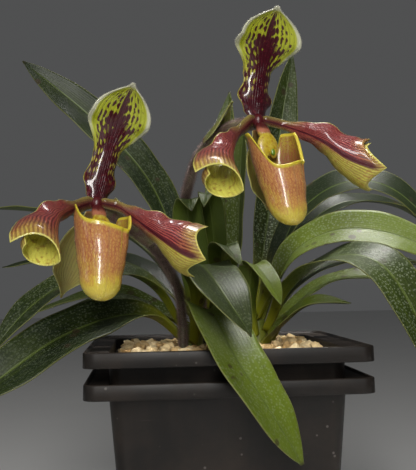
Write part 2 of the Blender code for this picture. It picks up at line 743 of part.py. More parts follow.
def make_bloom(side, bloom):
    """All the pieces of one bloom, from its stem to its pouch."""
    maroon = material("Petal", (0.30, 0.05, 0.06), 0.35)
    lime = material("Sepal", (0.45, 0.55, 0.10), 0.4)
    rose = material("Pouch", (0.50, 0.28, 0.10), 0.3)
    stem_green = material("Flower stem", (0.25, 0.22, 0.08), 0.7)
    place = bloom_place(bloom)
    for hand, petal in bloom["petals"].items():
        grid = petal_grid(hand, *petal)
        sheet(f"{side}_bloom_petal_{hand}", grid, PETAL_THICKNESS, maroon)
    dorsal_lean, synsepal_lean = [Matrix.Rotation(math.radians(a), 4, "Y") for a in bloom["leans"]]
    dorsal = placed(dorsal_grid(*bloom["dorsal"]), place @ dorsal_lean)
    sheet(f"{side}_bloom_dorsal_sepal", dorsal, PETAL_THICKNESS, lime)
    synsepal = placed(synsepal_grid(bloom["flare"]), place @ synsepal_lean)
    sheet(f"{side}_bloom_synsepal", synsepal, PETAL_THICKNESS, lime)
    title = f"{side}_bloom_pouch"
    pouch = add(title, pouch_mesh(title, place, bloom["pouch"], bloom["rim"]), rose)
    wall = pouch.modifiers.new("thickness", "SOLIDIFY")
    wall.thickness = POUCH_WALL * MM
    wall.offset = -1
    make_column(f"{side}_bloom_column", place)
    tube(f"{side}_bloom_ovary", bloom["ovary"], OVARY_RADII, stem_green, count=8)
    bract = bract_grid(bloom["bract"], bloom["ovary"])
    sheet(f"{side}_bloom_bract", bract, PETAL_THICKNESS, lime)
    tube(f"{side}_flower_stem", bloom["stem"], (STEM_RADIUS, STEM_RADIUS), stem_green, count=18)


def build():
    make_pot("outer_pot", 0)
    make_pot("inner_pot", POT_RISE)
    holes = [stem_hole(f"hole_{name}", growth_line(name), GROWTH_RADII) for name in GROWTHS]
    for side, bloom in BLOOMS.items():
        holes.append(stem_hole(f"hole_stem_{side}", bloom["stem"][-3:], (STEM_RADIUS, STEM_RADIUS)))
    make_medium(holes)
    for name in GROWTHS:
        make_growth(name)
    for name, leaf in LEAVES.items():
        make_leaf(name, *leaf)
    for side, bloom in BLOOMS.items():
        make_bloom(side, bloom)


build()
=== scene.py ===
"""Looks of a slipper orchid (paphiopedilum) with two blooms in two nested square nursery pots.

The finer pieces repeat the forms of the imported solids. Lengths are millimetres unless a comment
says otherwise, and MM turns them into metres. +Z is up and -Y is the side that the blooms face.
"""

import json
import logging
import random
from dataclasses import dataclass
from enum import Enum
from functools import cached_property
from math import copysign, cos, exp, pi, radians, sin, sqrt, tau
from typing import Callable, Sequence

import bmesh
import bpy
import numpy as np
from bpy.types import ID, Material, Mesh, Node, NodeSocket, NodeTree, Object
from mathutils import Matrix, Vector

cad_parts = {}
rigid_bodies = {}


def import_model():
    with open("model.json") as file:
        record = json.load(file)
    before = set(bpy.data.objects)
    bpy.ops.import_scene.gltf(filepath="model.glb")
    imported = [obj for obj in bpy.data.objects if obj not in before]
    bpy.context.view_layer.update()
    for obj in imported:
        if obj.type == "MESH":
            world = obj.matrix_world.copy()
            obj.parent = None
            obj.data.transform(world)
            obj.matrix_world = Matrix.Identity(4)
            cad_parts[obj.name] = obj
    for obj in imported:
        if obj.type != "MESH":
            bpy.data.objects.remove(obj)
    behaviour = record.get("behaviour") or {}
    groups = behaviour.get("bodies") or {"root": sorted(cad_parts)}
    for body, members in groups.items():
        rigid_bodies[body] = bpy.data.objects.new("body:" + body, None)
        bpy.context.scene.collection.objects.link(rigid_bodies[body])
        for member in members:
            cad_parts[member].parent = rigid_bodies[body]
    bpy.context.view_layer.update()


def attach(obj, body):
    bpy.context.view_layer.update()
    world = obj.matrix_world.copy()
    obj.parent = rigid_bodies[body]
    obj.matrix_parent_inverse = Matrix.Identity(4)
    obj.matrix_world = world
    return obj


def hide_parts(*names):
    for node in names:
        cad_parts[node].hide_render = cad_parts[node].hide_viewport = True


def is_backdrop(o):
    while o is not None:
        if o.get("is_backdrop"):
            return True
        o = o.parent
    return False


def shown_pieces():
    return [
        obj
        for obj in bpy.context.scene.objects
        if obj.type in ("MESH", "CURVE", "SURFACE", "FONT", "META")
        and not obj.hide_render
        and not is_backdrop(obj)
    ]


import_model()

MM = 0.001
GAP = 0.3
LOG = logging.getLogger("orchid")

Colour = tuple[float, float, float]
Point = tuple[float, float, float]
Stations = Sequence[tuple[float, float]]
Grid = Sequence[Sequence[Vector]]


class Slot(Enum):
    """The record's material slots."""

    POT = "pot_plastic"
    BARK = "bark_mix"
    LEAF = "leaf"
    LEAF_BASE = "leaf_base"
    PETAL = "petal"
    SEPAL = "sepal"
    POUCH = "pouch"
    COLUMN = "column"
    STEM = "flower_stem"


class Hand(Enum):
    """Which side of a bloom a petal is on, and how its front is turned."""

    LEFT = -1
    RIGHT = 1


# Curves and numbers


def lerp(a: float, b: float, share: float) -> float:
    """Reads the value at a share of the way from a to b."""
    return a + (b - a) * share


def ease(value: float) -> float:
    """Turns a number, held between 0 and 1, into a share with a soft start and end."""
    value = min(1.0, max(0.0, value))
    return value * value * (3 - 2 * value)


def shares(count: int, low: float = 0.0) -> list[float]:
    """Spreads numbers evenly from low to 1."""
    return [low + (1 - low) * i / (count - 1) for i in range(count)]


def through(stations: Stations, at: float) -> float:
    """Reads a value smoothly between (place, value) stations.

    Args:
        stations: Places in rising order with their values.
        at: Where to read.

    Returns:
        The value there, and the last one past the end.
    """
    for (low, first), (high, second) in zip(stations, stations[1:]):
        if at <= high:
            return lerp(first, second, ease((at - low) / (high - low)))
    return stations[-1][1]


def smooth_route(points: Sequence[Point], count: int) -> list[Vector]:
    """Spreads points evenly on a smooth curve.

    Args:
        points: The points that the curve passes.
        count: How many points to return.

    Returns:
        Evenly spaced points from the first to the last.
    """
    knots = [Vector(p) for p in points]
    knots = [2 * knots[0] - knots[1], *knots, 2 * knots[-1] - knots[-2]]
    fine = []
    for a, b, c, d in zip(knots, knots[1:], knots[2:], knots[3:]):
        for step in range(16):
            t = step / 16
            fine.append(0.5 * (2 * b + (c - a) * t + (2 * a - 5 * b + 4 * c - d) * t * t +
                (3 * b - a - 3 * c + d) * t ** 3))
    fine.append(knots[-2])
    reach = [0.0]
    for a, b in zip(fine, fine[1:]):
        reach.append(reach[-1] + (b - a).length)
    route = []
    place = 0
    for step in range(count):
        wanted = reach[-1] * step / (count - 1)
        while place < len(reach) - 2 and reach[place + 1] < wanted:
            place += 1
        share = (wanted - reach[place]) / (reach[place + 1] - reach[place])
        route.append(fine[place].lerp(fine[place + 1], share))
    return route


def directions(route: Sequence[Vector]) -> list[Vector]:
    """Finds the unit direction of a route at each of its points."""
    last = len(route) - 1
    return [(route[min(i + 1, last)] - route[max(i - 1, 0)]).normalized() for i in range(last + 1)]


# Pieces and meshes


def add_object(name: str, data: ID) -> Object:
    """Adds an object to the scene.

    Args:
        name: The object's name.
        data: Its mesh, camera or lamp.

    Returns:
        The object.
    """
    made = bpy.data.objects.new(name, data)
    bpy.context.scene.collection.objects.link(made)
    return made


def new_mesh(name: str, points: Sequence, faces: Sequence) -> Mesh:
    """Makes a mesh.

    Args:
        name: The mesh's name.
        points: Its points in metres.
        faces: The points of each face by number.

    Returns:
        The mesh.
    """
    mesh = bpy.data.meshes.new(name)
    mesh.from_pydata(points, [], faces)
    return mesh


def flat_square(name: str, reach: float, level: float) -> Mesh:
    """Makes a level square of half side reach round the origin, in metres."""
    corners = [(x * reach, y * reach, level) for x, y in ((-1, -1), (1, -1), (1, 1), (-1, 1))]
    return new_mesh(name, corners, [(0, 1, 2, 3)])


def freed_mesh(name: str, form: bmesh.types.BMesh) -> Mesh:
    """Turns a bmesh into a mesh and frees it.

    Args:
        name: The mesh's name.
        form: The bmesh.

    Returns:
        The mesh.
    """
    mesh = bpy.data.meshes.new(name)
    form.to_mesh(mesh)
    form.free()
    return mesh


def taken_mesh(name: str, used: Object) -> Mesh:
    """Takes the bare mesh of an object that isn't needed any more.

    Args:
        name: The mesh's new name.
        used: The object, which is removed.

    Returns:
        The mesh, without materials.
    """
    mesh = used.data
    bpy.data.objects.remove(used)
    mesh.name = name
    mesh.materials.clear()
    return mesh


def add_piece(name: str, mesh: Mesh, finish: Material, slot: Slot, stands_for: Sequence[str] =
        ()) -> Object:
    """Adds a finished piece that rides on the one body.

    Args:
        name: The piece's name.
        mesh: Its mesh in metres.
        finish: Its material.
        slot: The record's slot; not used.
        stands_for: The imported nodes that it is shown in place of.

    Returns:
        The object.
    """
    if finish.name not in [m.name for m in mesh.materials if m]:
        mesh.materials.append(finish)
    mesh.shade_smooth()
    piece = add_object(name, mesh)
    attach(piece, "root")
    for node in stands_for:
        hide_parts(node)
    return piece


def set_values(mesh: Mesh, name: str, values: Sequence[float], domain: str) -> None:
    """Writes a number for each POINT or FACE of a mesh, as its domain says."""
    layer = mesh.attributes.new(name, "FLOAT", domain)
    layer.data.foreach_set("value", np.asarray(values, np.float32))


def set_places(mesh: Mesh, places: np.ndarray) -> None:
    """Writes a UV map from one place for each point.

    Args:
        mesh: The mesh.
        places: An array of a pair of numbers for each point.
    """
    corners = np.empty(len(mesh.loops), np.int32)
    mesh.loops.foreach_get("vertex_index", corners)
    layer = mesh.uv_layers.new(name="place")
    layer.data.foreach_set("uv", places[corners].astype(np.float32).ravel())


def blade_mesh(name: str, grid: Grid, thickness: float, edge: float = 0.4,
        flip: bool = False, tone: float = 0.0, hair: Callable[[float, float], float] | None =
        None) -> Mesh:
    """Makes a thin closed piece round a grid of points on its middle.

    Args:
        name: The mesh's name.
        grid: Points in millimetres, in rows from foot to tip.
        thickness: Thickness at the middle.
        edge: Thickness at the margins, as a share of that.
        flip: Whether the upper side is the grid's other side.
        tone: A number that the finish reads, the same all over the piece.
        hair: How dense hairs are at (across, along), or None for bare.

    Returns:
        The mesh in metres, with UVs of across and along and an "under" value a face.
    """
    middle = np.array([[tuple(p) for p in row] for row in grid])
    rows, columns = middle.shape[:2]
    normal = np.cross(np.gradient(middle, axis=1), np.gradient(middle, axis=0))
    normal /= np.maximum(np.linalg.norm(normal, axis=2, keepdims=True), 1e-9)
    if flip:
        normal = -normal
    across = np.linspace(0, 1, columns)[None, :].repeat(rows, 0)
    along = np.linspace(0, 1, rows)[:, None].repeat(columns, 1)
    out = np.abs(across * 2 - 1)
    half = thickness / 2 * (edge + (1 - edge) * (1 - out ** 3))
    half *= 0.45 + 0.55 * np.clip((1 - along) / 0.06, 0, 1)
    points = np.concatenate([middle + normal * half[..., None], middle - normal * half[..., None]])
    points = points.reshape(-1, 3) * MM
    below = rows * columns
    faces, under = [], []
    for i in range(rows - 1):
        for j in range(columns - 1):
            a = i * columns + j
            faces.append((a, a + 1, a + columns + 1, a + columns))
            faces.append((a + below, a + columns + below, a + columns + 1 + below, a + 1 + below))
            under += [0.0, 1.0]
    loop = [j for j in range(columns)]
    loop += [i * columns + columns - 1 for i in range(1, rows)]
    loop += [(rows - 1) * columns + j for j in range(columns - 2, -1, -1)]
    loop += [i * columns for i in range(rows - 2, 0, -1)]
    for a, b in zip(loop, loop[1:] + loop[:1]):
        faces.append((a, a + below, b + below, b))
        under.append(0.5)
    if flip:
        faces = [tuple(reversed(face)) for face in faces]
    mesh = new_mesh(name, points.tolist(), faces)
    places = np.stack([across, along], 2).reshape(-1, 2)
    set_places(mesh, np.concatenate([places, places]))
    set_values(mesh, "under", under, "FACE")
    set_values(mesh, "tone", [tone] * len(points), "POINT")
    if hair is not None:
        dense = [hair(u, v) for u, v in places.tolist()]
        set_values(mesh, "hair", dense + dense, "POINT")
    return mesh


def tube_faces(rings: int, sides: int) -> list[tuple[int, ...]]:
    """Lists the faces of a closed tube.

    Args:
        rings: How many rings of points it has.
        sides: Points in a ring.

    Returns:
        The points of each face by number.
    """
    faces = [tuple(reversed(range(sides)))]
    for ring in range(rings - 1):
        for step in range(sides):
            a, b = ring * sides + step, ring * sides + (step + 1) % sides
            faces.append((a, b, b + sides, a + sides))
    last = (rings - 1) * sides
    return [*faces, tuple(range(last, last + sides))]


def pipe_mesh(name: str, points: Sequence[Point], radii: Sequence[float], count: int, sides: int,
        ridge: float = 0.0) -> Mesh:
    """Makes a round stem along a route.

    Args:
        name: The mesh's name.
        points: The points that it passes.
        radii: Its radius, read evenly from end to end.
        count: Rings along it.
        sides: Points in a ring.
        ridge: Height of three lengthwise ridges as a share of the radius.

    Returns:
        The closed mesh in metres, with UVs of around and along.
    """
    route = smooth_route(points, count)
    ways = directions(route)
    stations = [(i / (len(radii) - 1), r) for i, r in enumerate(radii)]
    side = ways[0].orthogonal().normalized()
    verts, places = [], []
    for i, (place, way) in enumerate(zip(route, ways)):
        share = i / (count - 1)
        side = (side - way * side.dot(way)).normalized()
        other = way.cross(side)
        for step in range(sides):
            angle = tau * step / sides
            radius = through(stations, share) * (1 + ridge * cos(3 * angle))
            verts.append((place + (side * cos(angle) + other * sin(angle)) * radius) * MM)
            places.append((step / sides, share))
    mesh = new_mesh(name, verts, tube_faces(count, sides))
    set_places(mesh, np.array(places))
    set_values(mesh, "hair", [1.0] * len(verts), "POINT")
    return mesh


def boolean(piece: Object, operation: str, tool: Object) -> None:
    """Joins or cuts a piece with a tool at once and removes the tool.

    Args:
        piece: The object that changes.
        operation: UNION or DIFFERENCE.
        tool: The other object.
    """
    step = piece.modifiers.new("join", "BOOLEAN")
    step.operation = operation
    step.solver = "EXACT"
    step.object = tool
    bpy.context.view_layer.update()
    graph = bpy.context.evaluated_depsgraph_get()
    result = bpy.data.meshes.new_from_object(piece.evaluated_get(graph))
    piece.modifiers.remove(step)
    piece.data = result
    bpy.data.objects.remove(tool)


# Shader trees


@dataclass(frozen=True)
class Graph:
    """Adds nodes to one tree and sets or links their inputs."""

    tree: NodeTree

    def add(self, kind: str, inputs: dict | None = None, **settings: object) -> Node:
        """Adds one node.

        Args:
            kind: The node's type.
            inputs: A value or a socket to link for sockets by name or number.
            settings: Properties of the node.

        Returns:
            The node.
        """
        node = self.tree.nodes.new(kind)
        for key, value in settings.items():
            setattr(node, key, value)
        for key, value in (inputs or {}).items():
            if isinstance(value, NodeSocket):
                self.tree.links.new(value, node.inputs[key])
            else:
                node.inputs[key].default_value = value
        return node

    def calc(self, operation: str, a: object, b: object = 0.0, clamp: bool = False) -> object:
        """Adds a Math node on two numbers or sockets and gives its result's socket."""
        made = self.add("ShaderNodeMath", {0: a, 1: b}, operation=operation, use_clamp=clamp)
        return made.outputs[0]

    def times(self, a: object, b: object) -> object:
        """Multiplies two numbers."""
        return self.calc("MULTIPLY", a, b)

    def plus(self, a: object, b: object, clamp: bool = False) -> object:
        """Adds two numbers."""
        return self.calc("ADD", a, b, clamp)

    def minus(self, a: object, b: object, clamp: bool = False) -> object:
        """Takes the second number from the first."""
        return self.calc("SUBTRACT", a, b, clamp)

    def most(self, a: object, b: object) -> object:
        """Picks the larger number."""
        return self.calc("MAXIMUM", a, b)

    def stray(self, value: object, reach: object) -> object:
        """Turns a number round 0.5 into one round 0, times a reach."""
        return self.times(self.minus(value, 0.5), reach)

    def off_middle(self, across: object) -> object:
        """Reads how far off the middle a place is, from 0 to 1 at the margin."""
        return self.times(self.calc("ABSOLUTE", self.minus(across, 0.5)), 2.0)

    def blend(self, share: object, a: object, b: object, mode: str = "MIX") -> object:
        """Blends two colours.

        Args:
            share: How much of the second, 0 to 1.
            a: First colour or its socket.
            b: Second colour or its socket.
            mode: The Mix node's blend type.

        Returns:
            The colour's socket.
        """
        a = (*a, 1.0) if isinstance(a, tuple) else a
        b = (*b, 1.0) if isinstance(b, tuple) else b
        made = self.add("ShaderNodeMix", {0: share, 6: a, 7: b}, data_type="RGBA", blend_type=mode)
        return made.outputs[2]

    def band(self, value: object, low: float, high: float, start: float = 0.0,
             end: float = 1.0) -> object:
        """Reads a number through a soft step, from start at low to end at high."""
        inputs = {"Value": value, "From Min": low, "From Max": high, "To Min": start, "To Max": end}
        return self.add("ShaderNodeMapRange", inputs, interpolation_type="SMOOTHSTEP").outputs[0]

    def noise(self, vector: object, scale: object, detail: float = 3.0,
              rough: float = 0.55) -> object:
        """Adds a noise texture and gives the socket of a number from 0 to 1."""
        inputs = {"Vector": vector, "Scale": scale, "Detail": detail, "Roughness": rough}
        return self.add("ShaderNodeTexNoise", inputs).outputs[0]

    def joined(self, x: object, y: object, z: object = 0.0) -> object:
        """Makes a vector of three numbers or sockets."""
        return self.add("ShaderNodeCombineXYZ", {0: x, 1: y, 2: z}).outputs[0]

    def value_of(self, name: str) -> object:
        """Reads a number stored on the mesh under a name."""
        return self.add("ShaderNodeAttribute", attribute_name=name).outputs["Fac"]

    def place(self) -> tuple[object, object, object]:
        """Reads where a point is on its piece.

        Returns:
            Sockets of across, along and the place in space.
        """
        uv = self.add("ShaderNodeTexCoord").outputs["UV"]
        split = self.add("ShaderNodeSeparateXYZ", {0: uv})
        return split.outputs[0], split.outputs[1], self.spot()

    def spot(self) -> object:
        """Reads the place in space."""
        return self.add("ShaderNodeTexCoord").outputs["Object"]

    def shared(self, name: str, inputs: dict) -> object:
        """Uses one of the shared effects and gives the socket of its result."""
        tree = bpy.data.node_groups[name]
        return self.add("ShaderNodeGroup", inputs, node_tree=tree).outputs[0]

    def veins(self, across: object, along: object, count: float, width: float,
            wander: float) -> object:
        """Masks lines that run from foot to tip."""
        return self.shared("Vein lines", {"Across": across, "Along": along, "Count": count,
            "Width": width, "Wander": wander})

    def spots(self, across: object, along: object, count: float, rows: float,
            size: object) -> object:
        """Masks spots that stand in rows."""
        return self.shared("Rowed spots", {"Across": across, "Along": along, "Count": count,
            "Rows": rows, "Size": size})

    def margin(self, across: object, width: float, soft: float) -> object:
        """Masks a soft band along both margins."""
        return self.shared("Margin band", {"Across": across, "Width": width, "Soft": soft})

    def stipple(self, spot: object, scale: float, cover: float) -> object:
        """Masks fine dots, denser in some places."""
        return self.shared("Wax stipple", {"Vector": spot, "Scale": scale, "Cover": cover})

    def grain(self, spot: object, scale: float) -> object:
        """Reads grain of two sizes."""
        return self.shared("Fine grain", {"Vector": spot, "Scale": scale})

    def cells(self, spot: object, scale: float) -> object:
        """Reads how far the nearest of many scattered points is."""
        made = self.add("ShaderNodeTexVoronoi", {"Vector": spot, "Scale": scale})
        return made.outputs["Distance"]

    def net(self, across: object, along: object) -> object:
        """Reads how far the nearest side of a net is, from places in meshes."""
        return self.add("ShaderNodeTexVoronoi", {"Vector": self.joined(across, along), "Scale": 1.0},
                        feature="DISTANCE_TO_EDGE", voronoi_dimensions="2D").outputs["Distance"]


def make_effect(name: str, titles: str, build: Callable[[Graph, object], object]) -> None:
    """Makes a shared shader effect with one number as its result.

    Args:
        name: The node group's name.
        titles: The names of its inputs, which are numbers, apart from Vector.
        build: Adds the nodes and returns the result's socket.
    """
    tree = bpy.data.node_groups.new(name, "ShaderNodeTree")
    for title in titles.split():
        kind = "NodeSocketVector" if title == "Vector" else "NodeSocketFloat"
        tree.interface.new_socket(name=title, in_out="INPUT", socket_type=kind)
    tree.interface.new_socket(name="Mask", in_out="OUTPUT", socket_type="NodeSocketFloat")
    graph = Graph(tree)
    source = graph.add("NodeGroupInput")
    graph.add("NodeGroupOutput", {0: build(graph, source.outputs)})


def vein_lines(g: Graph, given: object) -> object:
    """Lines that run from foot to tip and wander a little.

    Args:
        g: The group's graph.
        given: The group's inputs.

    Returns:
        The mask's socket, 1 on a line.
    """
    spot = g.joined(g.times(given["Across"], 3.0), g.times(given["Along"], 5.0))
    place = g.plus(g.times(given["Across"], given["Count"]), g.stray(g.noise(spot, 2.0),
        given["Wander"]))
    off = g.calc("ABSOLUTE", g.minus(g.calc("FRACT", place), 0.5))
    thin = g.minus(1.0, g.calc("DIVIDE", off, given["Width"]), clamp=True)
    broken = g.band(g.noise(g.joined(g.times(given["Across"], given["Count"]),
        g.times(given["Along"], 9.0)), 1.6), 0.3, 0.6)
    return g.times(thin, g.plus(g.times(broken, 0.75), 0.25))


def rowed_spots(g: Graph, given: object) -> object:
    """Spots that stand in rows from foot to tip.

    Args:
        g: The group's graph.
        given: The group's inputs.

    Returns:
        The mask's socket, 1 in a spot.
    """
    spot = g.joined(g.times(given["Across"], given["Count"]), g.times(given["Along"],
        given["Rows"]))
    bent = g.add("ShaderNodeTexNoise", {"Vector": spot, "Scale": 1.7, "Detail": 2.0})
    moved = g.add("ShaderNodeVectorMath", {0: bent.outputs[1], 1: (0.5, 0.5, 0.5)},
        operation="SUBTRACT")
    moved = g.add("ShaderNodeVectorMath", {0: moved.outputs[0], 1: (0.35, 0.9, 0.0)},
        operation="MULTIPLY")
    moved = g.add("ShaderNodeVectorMath", {0: spot, 1: moved.outputs[0]}, operation="ADD")
    cells = g.add("ShaderNodeTexVoronoi", {"Vector": moved.outputs[0], "Scale": 1.0, "Randomness":
        0.45}, voronoi_dimensions="2D")
    return g.minus(1.0, g.calc("DIVIDE", g.minus(cells.outputs["Distance"], given["Size"]), 0.14),
        clamp=True)


def margin_band(g: Graph, given: object) -> object:
    """A soft band along both margins, 1 at the margin."""
    past = g.minus(g.off_middle(given["Across"]), g.minus(1.0, given["Width"]))
    return g.calc("DIVIDE", past, given["Soft"], clamp=True)


def wax_stipple(g: Graph, given: object) -> object:
    """Fine pale dots, denser in some places.

    Args:
        g: The group's graph.
        given: The group's inputs.

    Returns:
        The mask's socket, 1 in a dot.
    """
    cells = g.cells(given["Vector"], given["Scale"])
    patch = g.band(g.noise(given["Vector"], 30.0, 4.0), 0.25, 0.58, 0.84, 1.04)
    size = g.times(patch, given["Cover"])
    return g.calc("DIVIDE", g.minus(size, cells), 0.18, clamp=True)


def fine_grain(g: Graph, given: object) -> object:
    """Grain of two sizes, round 0.5."""
    large, small = g.noise(given["Vector"], 120.0, 4.0), g.noise(given["Vector"], given["Scale"])
    return g.plus(g.times(large, 0.4), g.times(small, 0.6))


def make_effects() -> None:
    """Makes every shared effect once."""
    make_effect("Vein lines", "Across Along Count Width Wander", vein_lines)
    make_effect("Rowed spots", "Across Along Count Rows Size", rowed_spots)
    make_effect("Margin band", "Across Width Soft", margin_band)
    make_effect("Wax stipple", "Vector Scale Cover", wax_stipple)
    make_effect("Fine grain", "Vector Scale", fine_grain)


def finish_material(g: Graph, colour: object, roughness: object, height: object, depth: float,
        **more: object) -> None:
    """Adds the surface and the output to a material's tree.

    Args:
        g: The tree's graph.
        colour: The base colour's socket.
        roughness: A number or socket.
        height: The socket of the surface's height, 0 to 1.
        depth: How far that height reaches, in millimetres.
        more: Other inputs of the surface, with _ for a space.
    """
    bump = g.add("ShaderNodeBump", {"Height": height, "Distance": depth * MM, "Strength": 1.0})
    inputs = {"Base Color": colour, "Roughness": roughness, "Normal": bump.outputs[0]}
    inputs.update({key.replace("_", " "): value for key, value in more.items()})
    surface = g.add("ShaderNodeBsdfPrincipled", inputs)
    g.add("ShaderNodeOutputMaterial", {0: surface.outputs[0]})


# Finishes


@dataclass(frozen=True)
class Finish:
    """One material, whose kind adds the nodes."""

    name: str

    def paint(self, g: Graph) -> None:
        """Adds the nodes; each kind has its own."""

    def build(self) -> Material:
        """Makes the material.

        Returns:
            The material.
        """
        made = bpy.data.materials.new(self.name)
        made.use_nodes = True
        made.node_tree.nodes.clear()
        self.paint(Graph(made.node_tree))
        return made


@dataclass(frozen=True)
class PlasticFinish(Finish):
    """Dark moulded plastic with dust, water marks and scuffs."""

    colour: Colour = (0.0046, 0.0034, 0.0028)
    dust: Colour = (0.033, 0.023, 0.016)
    scuff: Colour = (0.12, 0.11, 0.1)
    roughness: float = 0.5

    def paint(self, g: Graph) -> None:
        """Adds the nodes.

        Args:
            g: The material's graph.
        """
        spot = g.spot()
        normal = g.add("ShaderNodeNewGeometry").outputs["Normal"]
        normal = g.add("ShaderNodeSeparateXYZ", {0: normal})
        tall = g.add("ShaderNodeMapping", {0: spot, 3: (90.0, 90.0, 9.0)}).outputs[0]
        long = g.add("ShaderNodeMapping", {0: spot, 3: (14.0, 14.0, 420.0)}).outputs[0]
        streak = g.band(g.noise(tall, 1.0, 5.0), 0.46, 0.72)
        film = g.band(g.noise(spot, 26.0, 6.0, 0.65), 0.38, 0.75)
        dusty = g.times(g.plus(g.times(streak, 0.45), film), 0.42)
        up = g.band(normal.outputs[2], 0.5, 0.95)
        dusty = g.plus(dusty, g.times(up, 0.5), clamp=True)
        colour = g.blend(dusty, self.colour, self.dust)
        scratch = g.times(g.band(g.noise(long, 1.0, 2.0), 0.66, 0.74), g.band(g.noise(spot, 34.0,
            2.0), 0.52, 0.66))
        speck = g.cells(spot, 170.0)
        speck = g.times(g.band(speck, 0.13, 0.07), g.band(g.noise(spot, 48.0), 0.5, 0.62))
        marks = g.most(g.times(scratch, 0.5), g.times(speck, 0.7))
        colour = g.blend(marks, colour, self.scuff)
        grain = g.grain(spot, 2600.0)
        rough = g.plus(g.times(dusty, 0.28), self.roughness - 0.05)
        height = g.plus(g.times(grain, 0.6), g.times(marks, 0.3))
        finish_material(g, colour, rough, height, 0.09, Specular_IOR_Level=0.3)


@dataclass(frozen=True)
class BarkFinish(Finish):
    """Pumice and bark chips: cream to tan, pitted, matt, with painted shade in pits and between."""

    pale: Colour = (0.9, 0.7, 0.38)
    tan: Colour = (0.56, 0.35, 0.14)
    # Near black: painted shade, which the bed between the chips takes.
    dark: Colour = (0.03, 0.018, 0.01)

    def paint(self, g: Graph) -> None:
        """Adds the nodes.

        Args:
            g: The material's graph.
        """
        spot = g.spot()
        shade = g.value_of("shade")
        ramp = g.add("ShaderNodeValToRGB", {0: shade})
        stops = ((0.0, self.dark), (0.12, self.tan), (0.42, (0.66, 0.45, 0.2)), (0.8, self.pale),
            (1.0, (0.88, 0.72, 0.44)))
        while len(ramp.color_ramp.elements) < len(stops):
            ramp.color_ramp.elements.new(0.5)
        for element, (place, colour) in zip(ramp.color_ramp.elements, stops):
            element.position = place
            element.color = (*colour, 1)
        large = g.noise(spot, 260.0, 5.0, 0.65)
        colour = g.blend(g.band(large, 0.35, 0.75), ramp.outputs[0], (0.36, 0.24, 0.13), "MULTIPLY")
        colour = g.blend(0.7, colour, ramp.outputs[0])
        pits = g.cells(spot, 1500.0)
        pit = g.times(g.band(pits, 0.32, 0.12), g.band(large, 0.4, 0.6))
        # The pits are painted darker: painted shade in the pores.
        colour = g.blend(g.times(pit, 0.55), colour, (0.16, 0.1, 0.06))
        grain = g.grain(spot, 1900.0)
        height = g.minus(grain, g.times(pit, 0.8))
        finish_material(g, colour, 0.9, height, 0.5)


@dataclass(frozen=True)
class LeafFinish(Finish):
    """A waxy strap leaf: dull green above with a pale midrib, brighter beneath and at its foot."""

    deep: Colour = (0.006, 0.0125, 0.0025)
    bright: Colour = (0.1, 0.14, 0.009)
    under: Colour = (0.038, 0.056, 0.009)
    foot: Colour = (0.21, 0.22, 0.01)
    rib: Colour = (0.075, 0.105, 0.02)
    margin: Colour = (0.16, 0.165, 0.05)
    wax: Colour = (0.21, 0.245, 0.165)
    roughness: float = 0.38

    def paint(self, g: Graph) -> None:
        """Adds the nodes.

        Args:
            g: The material's graph.
        """
        across, along, spot = g.place()
        under, tone = g.value_of("under"), g.value_of("tone")
        off = g.off_middle(across)
        veins = g.veins(across, along, 17.0, 0.3, 0.25)
        streak = g.noise(g.joined(g.times(across, 16.0), g.times(along, 2.2), g.times(tone, 9.0)),
            1.0, 4.0)
        cloud = g.noise(spot, 38.0, 4.0)
        mixed = g.plus(g.times(streak, 0.55), g.times(cloud, 0.45))
        level = g.plus(tone, g.stray(mixed, 0.8), clamp=True)
        upper = g.blend(level, self.deep, self.bright)
        upper = g.blend(g.times(veins, 0.09), upper, self.rib)
        wax = g.stipple(spot, 800.0, 0.46)
        waxy = g.minus(0.6, g.times(tone, 0.14))
        waxy = g.times(waxy, g.band(along, 0.85, 0.35, 0.4, 1.0))
        waxy = g.times(waxy, g.band(tone, 0.02, 0.14, 0.12, 1.0))
        bloom = g.plus(g.times(wax, waxy), g.times(g.band(g.noise(spot, 300.0, 5.0), 0.4, 0.8),
            0.03))
        upper = g.blend(bloom, upper, self.wax)
        upper = g.blend(g.band(off, 0.085, 0.025, 0.0, 0.75), upper, self.rib)
        lower = g.blend(g.times(veins, 0.3), self.under, (0.04, 0.065, 0.012))
        lower = g.blend(g.band(cloud, 0.35, 0.75, 0.0, 0.4), lower, self.bright)
        lower = g.blend(g.band(off, 0.11, 0.05, 0.0, 0.55), lower, self.rib)
        colour = g.blend(under, upper, lower)
        near = g.plus(along, g.stray(streak, 0.16))
        colour = g.blend(g.band(near, 0.26, 0.02, 0.0, 0.85), colour, self.foot)
        edge = g.margin(across, 0.045, 0.03)
        colour = g.blend(g.times(edge, 0.6), colour, self.margin)
        scar = g.cells(spot, 120.0)
        scar = g.times(g.band(scar, 0.27, 0.19), g.band(g.noise(spot, 37.0), 0.5, 0.55))
        tip = g.band(g.plus(along, g.times(streak, 0.03)), 0.995, 1.02, 0.0, 0.7)
        hurt = g.most(g.times(scar, 0.75), tip)
        colour = g.blend(hurt, colour, (0.034, 0.022, 0.012))
        groove = g.band(off, 0.0, 0.09, -0.9, 0.0)
        grain = g.grain(spot, 2200.0)
        height = g.plus(g.times(veins, -0.18), groove)
        height = g.plus(height, g.times(grain, 0.6))
        rough = g.plus(g.times(bloom, 0.35), self.roughness)
        finish_material(g, colour, rough, height, 0.22, Specular_IOR_Level=0.26)


